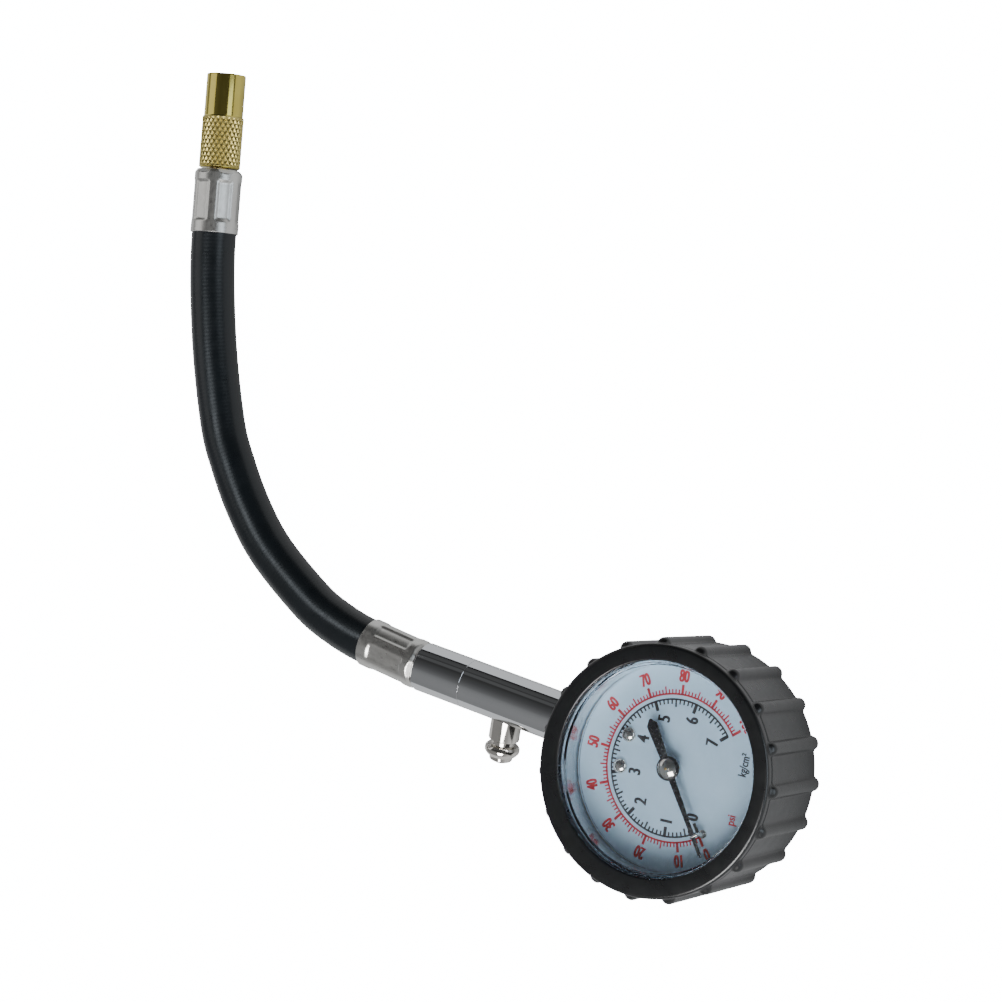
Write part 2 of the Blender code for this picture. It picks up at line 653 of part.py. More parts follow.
def make_bleed_valve():
    """The screwed-in valve body, its button, plunger, spring and O-ring."""
    body = turned("bleed_valve_body", [(0, 12.2), (4.1, 12.2), (4.4, 11.9), (4.4, 3.6), (0, 3.6)],
                  nickel, bleed, segments=STEM_FACETS)
    cut(body, rod("stem_clearance", STEM_RADIUS + GAP, 40.0, 75.0, None, stem,
                  segments=STEM_FACETS))
    fuse(body, rod("bleed_shank", 3.0, 2.6, 10.0, None, bleed))
    cut(body, rod("bleed_bore", 1.5, 0.0, 11.0, None, bleed, segments=TINY_FACETS))
    cut(body, rod("bleed_pocket", 3.6, 8.7, 14.0, None, bleed))
    cap = [
        (0, 19.0), (2.6, 19.0), (3.3, 18.4), (3.3, 17.1), (4.0, 16.9), (4.5, 16.4), (5.0, 15.6),
        (5.0, 14.5), (4.5, 13.8), (3.3, 13.8), (3.3, 11.0), (2.5, 11.0), (2.5, 14.3),
        (1.1, 14.3), (1.1, 16.2), (0, 16.2),
    ]
    turned("bleed_button", cap, nickel, bleed)
    plunger = [(0, 15.8), (0.8, 15.8), (0.8, 1.1), (2.0, 1.1), (2.0, 0.3), (0, 0.3)]
    turned("bleed_plunger", plunger, brass, bleed, segments=TINY_FACETS)
    coil("bleed_spring", 1.8, 0.3, 9.0, 13.9, 3.0, steel, bleed)
    torus("bleed_o_ring", 1.6, 0.45, 1.9, gasket_rubber, bleed)


def barbs(start, end, count, root, crest):
    """Sawtooth rings of a hose tail, from its free end down to its shoulder."""
    points = []
    pitch = (end - start) / count
    for i in range(count):
        high = end - pitch * i
        points += [(root, high), (crest, high - pitch + 0.2)]
    points.append((root, start))
    return points


def make_hose_connector():
    """The connector: a spigot in the stem, a polished body, and a barbed tail in the hose."""
    tail_start = CONNECTOR_END + 2.8
    tail_end = tail_start + 13.5
    outline = [(1.6, tail_end), *barbs(tail_start, tail_end, 3, 2.7, 3.2), (3.5, tail_start - 0.2),
               (3.5, CONNECTOR_END), (STEM_RADIUS - 0.3, CONNECTOR_END),
               (STEM_RADIUS, CONNECTOR_END - 0.3), (STEM_RADIUS, STEM_SEAM + 0.35),
               (STEM_RADIUS - 0.2, STEM_SEAM + 0.15), (NECK_RADIUS, STEM_SEAM + 0.15),
               (NECK_RADIUS, 70.8), (1.6, 70.8)]
    turned("hose_connector", outline, chrome, stem, closed=True)


# ---------------------------------------------------------------- hose and chuck

def ferrule_outline():
    """A ferrule's half section; its shoulder is at height 0 and its mouth at FERRULE_LENGTH."""
    top = FERRULE_LENGTH
    wall = 0.8
    return [(FERRULE_RADIUS - wall, top), (FERRULE_RADIUS - 0.2, top),
            (FERRULE_RADIUS, top - 0.3), (FERRULE_RADIUS, 1.6), (FERRULE_RADIUS - 1.2, 0.0),
            (3.9, 0.0), (3.9, 1.0), (FERRULE_RADIUS - wall, 1.0)]


def make_hose():
    """The two crimped ferrules and the rubber hose between them."""
    turned("lower_ferrule", ferrule_outline(), tin, lower_mouth, closed=True)
    turned("upper_ferrule", ferrule_outline(), tin, upper_mouth, closed=True)
    leaving = lower_mouth_direction
    arriving = chuck_direction
    start = Vector((-LOWER_FERRULE_START, 0, STEM_Z)) + leaving * (FERRULE_LENGTH + GAP)
    end = Vector(CHUCK_BASE) - arriving * (FERRULE_LENGTH + GAP)
    route = smooth_route([start, *HOSE_BENDS, end], leaving, arriving, 2.4 * HOSE_RADIUS)
    square_end = 3.0
    route.insert(1, start + leaving * square_end)
    route.insert(-1, end - arriving * square_end)
    tube("hose", route, HOSE_RADIUS, hose_rubber, head, resolution=3)


def make_chuck():
    """The nipple in the hose and the brass chuck that swivels on its head."""
    nipple = [(1.3, 6.4), (3.5, 6.4), (3.5, 3.4), (2.5, 3.4), (2.5, GAP), (3.5, 0.0),
              (3.5, -2.2)]
    nipple += [(radius, -depth) for radius, depth in reversed(barbs(2.4, 16.5, 3, 2.7, 3.2))]
    nipple.append((1.3, -16.5))
    turned("chuck_nipple", nipple, brass, chuck, segments=SMALL_FACETS, closed=True)
    knurl_end = CHUCK_GAP + KNURL_LENGTH
    nose_end = knurl_end + NOSE_LENGTH
    body = [
        (MOUTH_RADIUS + 0.4, nose_end), (NOSE_RADIUS - 0.3, nose_end),
        (NOSE_RADIUS, nose_end - 0.3), (NOSE_RADIUS, knurl_end),
        (KNURL_RADIUS, knurl_end - 0.4), (KNURL_RADIUS, CHUCK_GAP + 0.4),
        (KNURL_RADIUS - 0.4, CHUCK_GAP), (3.0, CHUCK_GAP), (3.0, 3.0), (3.9, 3.0), (3.9, 10.7),
        (MOUTH_RADIUS, 10.7), (MOUTH_RADIUS, nose_end - 0.4),
    ]
    turned("chuck_body", body, chuck_brass, chuck, closed=True)
    ring("chuck_seal", 1.5, 3.6, 8.0, 10.4, gasket_rubber, chuck, segments=SMALL_FACETS)
    pin = [(0, 15.0), (0.5, 15.0), (0.8, 14.7), (0.8, 7.6), (3.3, 7.6), (3.3, 6.8), (0, 6.8)]
    turned("depressor_pin", pin, brass, chuck, segments=TINY_FACETS)


# ---------------------------------------------------------------- the gauge

clear_scene()
parts = make_collection("tire_pressure_gauge")
cutters = make_collection("cutters")

rubber = make_finish("boot_rubber", (0.03, 0.03, 0.033), 0.6)
gasket_rubber = make_finish("gasket_rubber", (0.05, 0.05, 0.05), 0.7)
hose_rubber = make_finish("hose_rubber", (0.02, 0.022, 0.026), 0.4)
clear_plastic = make_finish("clear_plastic", (0.95, 0.97, 1.0), 0.05, 0.0, 0.2)
dial_paint = make_finish("dial_paint", (0.62, 0.7, 0.76), 0.5)
pointer_paint = make_finish("pointer_paint", (0.02, 0.02, 0.02), 0.4)
chrome = make_finish("chrome", (0.8, 0.8, 0.82), 0.08, 1.0)
nickel = make_finish("nickel", (0.72, 0.69, 0.64), 0.15, 1.0)
tin = make_finish("tin_plate", (0.6, 0.58, 0.55), 0.3, 1.0)
steel = make_finish("steel", (0.55, 0.55, 0.56), 0.3, 1.0)
brass = make_finish("brass", (0.72, 0.55, 0.26), 0.25, 1.0)
bronze = make_finish("bronze", (0.6, 0.38, 0.2), 0.3, 1.0)
chuck_brass = make_finish("chuck_brass", (0.75, 0.6, 0.28), 0.15, 1.0)

# The needle's half width where it meets the stop pin, and the pin's place beside it
share = (STOP_PIN_REACH - POINTER_HUB) / (POINTER_LENGTH - POINTER_HUB)
touch = POINTER_HALF_WIDTH + (POINTER_TIP_HALF_WIDTH - POINTER_HALF_WIDTH) * share
lead = math.degrees(math.asin((STOP_PIN_RADIUS + touch + GAP / 2) / STOP_PIN_REACH))
stop_pin_place = polar(STOP_PIN_REACH, POINTER_REST + lead)

# As the tube opens, its tip swings about the centroid of the tube's arc
half_span = math.radians(TUBE_END - TUBE_START) / 2
tube_centroid = polar(TUBE_RADIUS * math.sin(half_span) / half_span, (TUBE_START + TUBE_END) / 2)
tip_pin = polar(TUBE_RADIUS, TIP_ANGLE)
tip_arm = tip_pin - tube_centroid
tip_swing = SECTOR_SWING * TAIL_LENGTH / tip_arm.length
pull_heading = math.degrees(math.atan2(tip_arm.y, tip_arm.x)) + 90.0 + tip_swing / 2

# The link lies along the tip's travel, and the tail swings equally to both sides of the line
# square to it.  The link's length puts the sector's pivot at the gears' centre distance.
centre_distance = MODULE * (PINION_TEETH + SECTOR_TEETH) / 2
pull = polar(1.0, pull_heading)
tail_at_rest = polar(TAIL_LENGTH, pull_heading - 90.0 - SECTOR_SWING / 2)
reach = tip_pin - tail_at_rest
along = reach.dot(pull)
link_length = along + math.sqrt(along**2 - reach.length_squared + centre_distance**2)
tail_pin = tip_pin - pull * link_length
sector_pivot = tail_pin - tail_at_rest

head = make_axis("head_axis", (0, 0, 0))
stem = make_axis("stem_axis", (0, 0, STEM_Z), (-1, 0, 0))
lean = math.radians(BLEED_DROP)
bleed = make_axis("bleed_axis", (-BLEED_STATION, 0, STEM_Z), (0, -math.cos(lean), -math.sin(lean)))
lower_mouth_direction = polar(1.0, 180.0 - FERRULE_TILT).to_3d()
lower_mouth = make_axis("lower_ferrule_axis", (-LOWER_FERRULE_START, 0, STEM_Z),
                        lower_mouth_direction)
chuck_direction = polar(1.0, CHUCK_HEADING).to_3d()
upper_mouth = make_axis("upper_ferrule_axis", CHUCK_BASE, -chuck_direction)
chuck = make_axis("chuck_axis", CHUCK_BASE, chuck_direction)

make_boot()
make_case()
make_crystal()
make_dial()
make_pointer()
make_pinion()
make_sector()
make_link()
make_movement_frame()
make_hairspring()
make_bourdon_tube()
make_socket_block()
make_stem()
make_check_valve()
make_bleed_valve()
make_hose_connector()
make_hose()
make_chuck()
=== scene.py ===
"""Looks of the dial tire pressure gauge: the boot, window, printed dial, stem, hose and chuck.

The frame is in metres. Sizes written here are in millimetres and degrees unless they say
otherwise, and MM turns them into metres. Heights and radii follow the CAD nodes they replace.
"""
import json
import math

import bmesh
import bpy
from mathutils import Matrix, Vector


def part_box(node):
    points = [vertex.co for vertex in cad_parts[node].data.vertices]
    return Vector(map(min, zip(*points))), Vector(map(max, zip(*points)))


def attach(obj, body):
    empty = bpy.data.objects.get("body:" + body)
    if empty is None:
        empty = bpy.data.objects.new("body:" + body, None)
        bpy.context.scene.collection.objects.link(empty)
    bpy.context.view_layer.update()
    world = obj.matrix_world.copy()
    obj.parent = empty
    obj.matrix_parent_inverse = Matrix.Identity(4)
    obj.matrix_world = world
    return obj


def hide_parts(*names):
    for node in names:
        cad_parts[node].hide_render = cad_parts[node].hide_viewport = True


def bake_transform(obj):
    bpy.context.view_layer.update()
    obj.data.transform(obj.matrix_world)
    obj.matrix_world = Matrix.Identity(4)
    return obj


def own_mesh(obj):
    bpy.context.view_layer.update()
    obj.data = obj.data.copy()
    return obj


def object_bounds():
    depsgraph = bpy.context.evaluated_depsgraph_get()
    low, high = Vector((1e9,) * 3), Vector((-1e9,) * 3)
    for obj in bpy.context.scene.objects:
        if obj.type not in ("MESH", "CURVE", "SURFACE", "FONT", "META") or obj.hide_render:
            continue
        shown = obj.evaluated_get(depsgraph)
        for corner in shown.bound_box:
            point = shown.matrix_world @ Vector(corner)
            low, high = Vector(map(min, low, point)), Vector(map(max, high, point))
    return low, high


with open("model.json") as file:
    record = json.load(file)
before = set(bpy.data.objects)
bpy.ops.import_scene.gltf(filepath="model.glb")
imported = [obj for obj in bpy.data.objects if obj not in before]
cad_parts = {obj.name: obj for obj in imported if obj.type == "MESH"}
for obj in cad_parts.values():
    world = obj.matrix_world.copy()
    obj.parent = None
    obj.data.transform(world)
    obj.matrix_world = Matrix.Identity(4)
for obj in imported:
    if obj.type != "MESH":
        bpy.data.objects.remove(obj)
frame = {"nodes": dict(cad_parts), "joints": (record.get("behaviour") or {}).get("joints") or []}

cad_low, cad_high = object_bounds()
joints = {joint["name"]: joint for joint in frame["joints"]}

MM = 0.001

# Camera: tilt from the vertical, heading of the side it stands on, and roll
CAMERA_TILT = 29.175
CAMERA_HEADING = 13.027
CAMERA_ROLL = 15.482
CAMERA_PLACE = (0.3901, 0.1608, 0.8721)     # metres
CAMERA_LENS = 125.75

# Hose, in metres: the route's own points, from the lower ferrule to the upper one
HOSE_BENDS = (
    (-0.12115, 0.00325, 0.0091),
    (-0.1318, 0.0069, 0.0089),
    (-0.1490, 0.0161, 0.0084),
    (-0.1603, 0.02545, 0.0081),
    (-0.1701, 0.0364, 0.0078),
    (-0.1779, 0.0477, 0.0076),
    (-0.18915, 0.07195, 0.0073),
)
HOSE_RADIUS = 6.65
HOSE_HIDDEN = 2.0              # of the hose inside each ferrule's mouth
HOSE_STRAIGHT = 0.3            # of the hose outside each mouth, before it bends
WRAP_PITCH = 1.15              # of the cloth wrap that the hose was cured in
WRAP_DEPTH = 0.015

# Ferrules
FERRULE_LENGTH = 18.8
FERRULE_RADIUS = 7.1
FERRULE_TILT = 3.5             # of the lower ferrule, off the stem's axis
LOWER_FERRULE_START = 89.5
LOWER_CRIMP_TURN = -11.0
UPPER_CRIMP_TURN = 6.8
DENT_DEPTH = 0.5               # of the six dents that the crimping dies press
DENT_HALF_WIDTH = 2.85
DENT_LOW = 3.0
DENT_HIGH = 15.8
DENT_RAMP = 1.3
FACET_INNER = 6.0              # of the shoulder's six facets, from the axis at the end face
FACET_HEIGHT = 1.35

# Head
BOOT_RADIUS = 34.3             # at the rim
BOOT_DRAFT = 0.6               # how much narrower its back is
BOOT_RIM_SHIFT = (-0.5, -0.7)  # the rubber sits a little askew on the case
BOOT_BACK_SHIFT = (-0.65, 0.5)
BOOT_OPENING = 29.15
BOOT_CAVITY = 31.6             # radius of the room for the case
BOOT_BACK = 2.0                # floor of that room
BOOT_LIP_LOW = 30.2            # and its ceiling, under the front lip
BOOT_BACK_FILLET = 1.9
RIB_COUNT = 19
RIB_FIRST_ANGLE = 85.0
RIB_RADIUS = 2.0
RIB_SUNK = 0.3                 # its centre below the boot's wall
RIB_FILLET = 0.9
RIB_LOW = 1.9                  # middles of the rounded ends
RIB_HIGH = 28.7
RIB_END_POWER = 2.6            # 2 would make the ends round, more makes them squarer
WALL_TOP = RIB_HIGH + 3.0      # above it the rim is plain
GROOVE_HEIGHT = 29.9
GROOVE_DEPTH = 0.22
GROOVE_WIDTH = 0.22
DIAL_TOP = 20.2
PRINT_LOW = DIAL_TOP - 0.02
PRINT_HIGH = DIAL_TOP + 0.03
FONT_CAP_HEIGHT = 0.73         # of the built-in typeface, at size 1
FONT_OFFSET = 0.012            # thickens its strokes
DIAL_SCREW_X = -15.2
DIAL_SCREW_Y = 4.5

# Pressure scales: angle of a pressure on the dial
ANGLE_AT_50 = 181.57
DEGREES_PER_PSI = 2.74
ZERO_ANGLE = -49.2 + 360.0
FIRST_PSI = 4                  # lower marks would fall on the zero
PSI_PER_KG = 14.22

# Pointer
POINTER_REST = -50.3
POINTER_Z = 23.0
POINTER_LENGTH = 25.5
POINTER_TAIL = 14.3
HUB_RADIUS = 3.35
CAP_RADIUS = 2.75

# Bourdon tube
TUBE_RADIUS = 21.0
TUBE_START = -78.0
TUBE_END = 168.0
TUBE_HALF_THICKNESS = 1.5
TUBE_HALF_HEIGHT = 2.8
TUBE_WALL = 0.3

# Stem and bleed valve
STEM_Z = 9.2
STEM_RADIUS = 7.1
STEM_START = 31.8
STEM_SEAM = 72.9
CONNECTOR_END = 89.0
BLEED_STATION = 59.5

# Chuck, measured from the end of the upper ferrule
CHUCK_BASE = (-202.23, 118.38, 7.2)
KNURL_START = 0.5
KNURL_END = 16.0
KNURL_RADIUS = 6.15
KNURL_COUNT = 26
KNURL_PITCH = 2.5
KNURL_DEPTH = 0.42
NOSE_END = 28.4
NOSE_RADIUS = 5.8
MOUTH_RADIUS = 4.1
MOUTH_FLOOR = 10.7


# ---------------------------------------------------------------- camera

def make_camera():
    """The photo's camera: a long lens from above the dial."""
    tilt = math.radians(CAMERA_TILT)
    heading = math.radians(CAMERA_HEADING)
    back = Vector((math.sin(tilt) * math.cos(heading), math.sin(tilt) * math.sin(heading),
                   math.cos(tilt)))
    level = Vector((0, 1, 0))
    level = (level - back * level.dot(back)).normalized()
    up = Matrix.Rotation(math.radians(CAMERA_ROLL), 3, back) @ level
    right = up.cross(back)
    data = bpy.data.cameras.new("camera")
    data.lens = CAMERA_LENS
    data.sensor_width = 36.0
    camera = bpy.data.objects.new("camera", data)
    bpy.context.scene.collection.objects.link(camera)
    turn = Matrix((right, up, back)).transposed().to_4x4()
    camera.matrix_world = Matrix.Translation(CAMERA_PLACE) @ turn
    bpy.context.scene.camera = camera


# ---------------------------------------------------------------- materials

class Nodes:
    """A material's nodes, with short calls to add and link them."""

    def __init__(self, name):
        self.name = name
        self.material = bpy.data.materials.new(name)
        self.material.use_nodes = True
        self.tree = self.material.node_tree
        self.shader = self.tree.nodes["Principled BSDF"]

    def add(self, kind, **settings):
        node = self.tree.nodes.new(kind)
        for key, value in settings.items():
            setattr(node, key, value)
        return node

    def link(self, source, target):
        self.tree.links.new(source, target)

    def noise(self, size, stretch=(1, 1, 1), detail=3.0):
        """Noise whose features are about size millimetres, stretched along the object's axes."""
        place = self.add("ShaderNodeTexCoord")
        mapping = self.add("ShaderNodeMapping")
        mapping.inputs["Scale"].default_value = [1.0 / (size * MM * s) for s in stretch]
        noise = self.add("ShaderNodeTexNoise")
        noise.inputs["Scale"].default_value = 1.0
        noise.inputs["Detail"].default_value = detail
        self.link(place.outputs["Object"], mapping.inputs["Vector"])
        self.link(mapping.outputs["Vector"], noise.inputs["Vector"])
        return noise.outputs["Fac"]

    def span(self, source, low, high, start=0.3, end=0.7):
        """Maps a noise to the range from low to high."""
        span = self.add("ShaderNodeMapRange")
        span.inputs["From Min"].default_value = start
        span.inputs["From Max"].default_value = end
        span.inputs["To Min"].default_value = low
        span.inputs["To Max"].default_value = high
        self.link(source, span.inputs["Value"])
        return span.outputs["Result"]

    def blend(self, share, first, second):
        mix = self.add("ShaderNodeMix", data_type="RGBA")
        mix.inputs["A"].default_value = (*first, 1.0)
        mix.inputs["B"].default_value = (*second, 1.0)
        self.link(share, mix.inputs["Factor"])
        return mix.outputs["Result"]

    def bump(self, height, strength, distance):
        bump = self.add("ShaderNodeBump")
        bump.inputs["Strength"].default_value = strength
        bump.inputs["Distance"].default_value = distance * MM
        self.link(height, bump.inputs["Height"])
        self.link(bump.outputs["Normal"], self.shader.inputs["Normal"])


def surface(name, light, dark, rough, metallic=0.0, patch=6.0, stretch=(1, 1, 1), grain=0.4,
            relief=0.02, strength=0.3, grain_stretch=(1, 1, 1)):
    """A finish that drifts between two colours and two roughnesses, over a fine grain."""
    made = Nodes(name)
    patches = made.noise(patch, stretch)
    colour = made.blend(made.span(patches, 0.0, 1.0), dark, light)
    made.link(colour, made.shader.inputs["Base Color"])
    marks = made.noise(patch * 0.37, stretch, detail=5.0)
    made.link(made.span(marks, *rough), made.shader.inputs["Roughness"])
    made.shader.inputs["Metallic"].default_value = metallic
    made.bump(made.noise(grain, grain_stretch), strength, relief)
    return made


def make_finishes():
    """All finishes by name."""
    made = [
        surface("boot_rubber", (0.0045, 0.0052, 0.0062), (0.0032, 0.0037, 0.0044), (0.26, 0.34),
                patch=9.0, grain=0.22, relief=0.010),
        surface("seal_rubber", (0.03, 0.03, 0.03), (0.018, 0.018, 0.018), (0.55, 0.75), patch=3.0,
                grain=0.2),
        surface("hose_rubber", (0.0050, 0.0075, 0.0100), (0.0035, 0.0052, 0.0070), (0.27, 0.35),
                patch=8.0, grain=0.25, relief=0.010),
        surface("case_steel", (0.64, 0.64, 0.64), (0.56, 0.56, 0.56), (0.14, 0.22), 1.0, patch=5.0,
                grain=0.6, relief=0.008),
        surface("dial", (0.285, 0.38, 0.47), (0.265, 0.36, 0.45), (0.32, 0.42), patch=7.0,
                grain=0.15, relief=0.004, strength=0.15),
        surface("print_red", (0.27, 0.006, 0.012), (0.24, 0.005, 0.010), (0.4, 0.5), patch=1.5,
                grain=0.12, relief=0.004),
        surface("print_black", (0.007, 0.007, 0.009), (0.005, 0.005, 0.006), (0.4, 0.5), patch=1.5,
                grain=0.12, relief=0.004),
        surface("pointer_paint", (0.006, 0.006, 0.007), (0.004, 0.004, 0.005), (0.24, 0.34),
                patch=2.0, grain=0.1, relief=0.004, strength=0.1),
        surface("chrome", (0.80, 0.81, 0.83), (0.74, 0.75, 0.77), (0.035, 0.09), 1.0, patch=7.0,
                stretch=(1, 1, 3), grain=5.0, relief=0.02, strength=0.12),
        surface("nickel", (0.84, 0.81, 0.76), (0.78, 0.75, 0.70), (0.06, 0.12), 1.0, patch=2.5,
                grain=0.8, relief=0.004, strength=0.1),
        surface("tin", (0.74, 0.73, 0.70), (0.66, 0.65, 0.62), (0.27, 0.36), 1.0, patch=2.5,
                stretch=(1, 1, 2), grain=1.5, relief=0.003, strength=0.06),
        surface("steel", (0.60, 0.60, 0.61), (0.48, 0.48, 0.49), (0.22, 0.36), 1.0, patch=1.5,
                grain=0.2, relief=0.006),
        surface("brass", (0.74, 0.57, 0.28), (0.64, 0.47, 0.21), (0.2, 0.34), 1.0, patch=2.0,
                grain=0.25, relief=0.006, grain_stretch=(3, 3, 0.3)),
        surface("bronze", (0.62, 0.40, 0.22), (0.50, 0.30, 0.15), (0.25, 0.4), 1.0, patch=3.0,
                grain=0.3, relief=0.006),
        surface("chuck_brass", (0.75, 0.63, 0.16), (0.68, 0.56, 0.13), (0.09, 0.16), 1.0,
                patch=3.0, stretch=(1, 1, 2), grain=0.3, relief=0.004, strength=0.2,
                grain_stretch=(6, 6, 0.4)),
        surface("knurl_brass", (0.66, 0.56, 0.21), (0.56, 0.47, 0.16), (0.40, 0.52), 1.0,
                patch=2.0, grain=0.3, relief=0.004, strength=0.2),
        make_window_finish(),
    ]
    by_name = {finish.name: finish for finish in made}
    by_name["boot_rubber"].shader.inputs["Specular IOR Level"].default_value = 0.8
    return by_name


def make_window_finish():
    """Clear plastic that lets the lamps through to the dial."""
    made = Nodes("crystal")
    shader = made.shader
    shader.inputs["Base Color"].default_value = (0.965, 0.985, 1.0, 1.0)
    shader.inputs["Transmission Weight"].default_value = 1.0
    shader.inputs["IOR"].default_value = 1.49
    smears = made.noise(9.0, detail=5.0)
    made.link(made.span(smears, 0.0, 0.025), shader.inputs["Roughness"])
    clear = made.add("ShaderNodeBsdfTransparent")
    clear.inputs["Color"].default_value = (0.93, 0.96, 0.98, 1.0)
    path = made.add("ShaderNodeLightPath")
    mix = made.add("ShaderNodeMixShader")
    output = made.tree.nodes["Material Output"]
    made.link(path.outputs["Is Shadow Ray"], mix.inputs["Fac"])
    made.link(shader.outputs["BSDF"], mix.inputs[1])
    made.link(clear.outputs["BSDF"], mix.inputs[2])
    made.link(mix.outputs["Shader"], output.inputs["Surface"])
    return made


# ---------------------------------------------------------------- tools for shapes

def polar(radius, degrees):
    """A flat point at a radius and an angle from +X."""
    angle = math.radians(degrees)
    return Vector((radius * math.cos(angle), radius * math.sin(angle)))


def axis_place(place, direction):
    """A frame at place (metres) with Z along direction and X upwards."""
    z = Vector(direction).normalized()
    x = Vector((0, 0, 1))
    x = (x - z * x.dot(z)).normalized()
    y = z.cross(x)
    return Matrix.Translation(place) @ Matrix((x, y, z)).transposed().to_4x4()


def add_piece(name, mesh, finish, body, place=None, sharp=32.0):
    """Link a mesh as a piece of the object that rides on body."""
    mesh.shade_smooth()
    mesh.set_sharp_from_angle(angle=math.radians(sharp))
    mesh.materials.clear()
    mesh.materials.append(finishes[finish].material)
    piece = bpy.data.objects.new(name, mesh)
    bpy.context.scene.collection.objects.link(piece)
    if place is not None:
        piece.matrix_world = place
    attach(piece, body)
    return piece


def to_mesh(name, shape):
    """A mesh of a bmesh, which is freed."""
    mesh = bpy.data.meshes.new(name)
    bmesh.ops.recalc_face_normals(shape, faces=shape.faces)
    shape.to_mesh(mesh)
    shape.free()
    return mesh


def rounded(corners, steps=5):
    """Outline points of (radius, height, fillet) corners."""
    points = []
    count = len(corners)
    for i, (radius, height, fillet) in enumerate(corners):
        here = Vector((radius, height))
        if fillet == 0:
            points.append(here)
            continue
        before = Vector(corners[i - 1][:2]) - here
        after = Vector(corners[(i + 1) % count][:2]) - here
        half = before.angle(after) / 2
        reach = min(fillet / math.tan(half), 0.48 * before.length, 0.48 * after.length)
        fillet = reach * math.tan(half)
        before.normalize()
        after.normalize()
        centre = here + (before + after).normalized() * (fillet / math.sin(half))
        first = here + before * reach - centre
        last = here + after * reach - centre
        bend = first.angle_signed(last)
        for k in range(steps + 1):
            points.append(centre + Matrix.Rotation(-bend * k / steps, 2) @ first)
    return points


def dense(points, step, low=-1e9, high=1e9):
    """The same outline with extra points, a step apart, between two heights."""
    fine = []
    for a, b in zip(points, points[1:]):
        fine.append(a)
        if min(a.y, b.y) >= low and max(a.y, b.y) <= high:
            count = math.ceil((b - a).length / step)
            fine += [a.lerp(b, i / count) for i in range(1, count)]
    fine.append(points[-1])
    return fine


def turn_shape(outline, angles, closed=False, shape=None):
    """Turn an outline about Z; shape(degrees, radius, height) may change each radius."""
    made = bmesh.new()
    rows = []
    for radius, height in outline:
        if radius < 1e-6:
            rows.append([made.verts.new((0, 0, height * MM))])
            continue
        row = []
        for angle in angles:
            reach = radius if shape is None else shape(angle, radius, height)
            flat = polar(reach * MM, angle)
            row.append(made.verts.new((flat.x, flat.y, height * MM)))
        rows.append(row)
    pairs = list(zip(rows, rows[1:]))
    if closed:
        pairs.append((rows[-1], rows[0]))
    count = len(angles)
    for a, b in pairs:
        for i in range(count):
            j = (i + 1) % count
            if len(a) == 1 and len(b) == 1:
                continue
            if len(a) == 1:
                made.faces.new((a[0], b[i], b[j]))
            elif len(b) == 1:
                made.faces.new((a[i], b[0], a[j]))
            else:
                made.faces.new((a[i], b[i], b[j], a[j]))
    return made


def even_angles(sides):
    return [360.0 * i / sides for i in range(sides)]


def turned(name, corners, finish, body, place=None, sides=96, closed=False, outline=None):
    """A turned piece from filleted corners, or from an outline that is ready."""
    made = turn_shape(outline or rounded(corners), even_angles(sides), closed)
    return add_piece(name, to_mesh(name, made), finish, body, place)


def solid_rod(name, radius, low, high, place, sides=64):
    """A cutter, which the caller removes again."""
    made = turn_shape([Vector((0, high)), Vector((radius, high)), Vector((radius, low)),
                       Vector((0, low))], even_angles(sides))
    tool = bpy.data.objects.new(name, to_mesh(name, made))
    bpy.context.scene.collection.objects.link(tool)
    tool.matrix_world = place
    return tool


def carve(piece, tool):
    """Cut a tool's shape out of a piece, and remove the tool."""
    step = piece.modifiers.new("carve", "BOOLEAN")
    step.operation = "DIFFERENCE"
    step.object = tool
    bpy.context.view_layer.update()
    graph = bpy.context.evaluated_depsgraph_get()
    mesh = bpy.data.meshes.new_from_object(piece.evaluated_get(graph))
    piece.modifiers.clear()
    old = piece.data
    piece.data = mesh
    piece.data.name = piece.name
    bpy.data.meshes.remove(old)
    bpy.data.objects.remove(tool)
    mesh.shade_smooth()
    mesh.set_sharp_from_angle(angle=math.radians(32.0))


def bridge(shape, a, b):
    """Join two rings of vertices with quads."""
    for k in range(len(a)):
        j = (k + 1) % len(a)
        shape.faces.new((a[k], a[j], b[j], b[k]))


def add_prism(shape, corners, low, high):
    """A closed prism on a convex outline, added to a bmesh (millimetres)."""
    bottom = [shape.verts.new((x * MM, y * MM, low * MM)) for x, y in corners]
    top = [shape.verts.new((x * MM, y * MM, high * MM)) for x, y in corners]
    shape.faces.new(top)
    shape.faces.new(list(reversed(bottom)))
    bridge(shape, bottom, top)


def skin(shape, rings):
    """Join each ring of vertices to the next, and close both ends."""
    for a, b in zip(rings, rings[1:]):
        bridge(shape, a, b)
    shape.faces.new(rings[0])
    shape.faces.new(rings[-1])


def smooth_route(points, start_heading, end_heading, spacing):
    """Points (metres) at even spacing along a curve that passes through all of points."""
    path = [Vector(point) for point in points]
    tangents = [(b - a) / 2 for a, b in zip(path, path[2:])]
    first = Vector(start_heading).normalized() * (path[1] - path[0]).length
    last = Vector(end_heading).normalized() * (path[-1] - path[-2]).length
    tangents = [first, *tangents, last]
    fine = []
    steps = 150
    for a, b, leave, arrive in zip(path, path[1:], tangents, tangents[1:]):
        for i in range(steps):
            t = i / steps
            fine.append((2 * t**3 - 3 * t**2 + 1) * a + (t**3 - 2 * t**2 + t) * leave
                        + (3 * t**2 - 2 * t**3) * b + (t**3 - t**2) * arrive)
    fine.append(path[-1])
    total = sum((b - a).length for a, b in zip(fine, fine[1:]))
    stride = total / round(total / spacing)
    even = [fine[0]]
    walked = 0.0
    for a, b in zip(fine, fine[1:]):
        piece = (b - a).length
        while walked + piece >= stride * len(even) and len(even) < round(total / stride):
            even.append(a.lerp(b, (stride * len(even) - walked) / piece))
        walked += piece
    even.append(fine[-1])
    return even


# ---------------------------------------------------------------- hose, ferrules and chuck

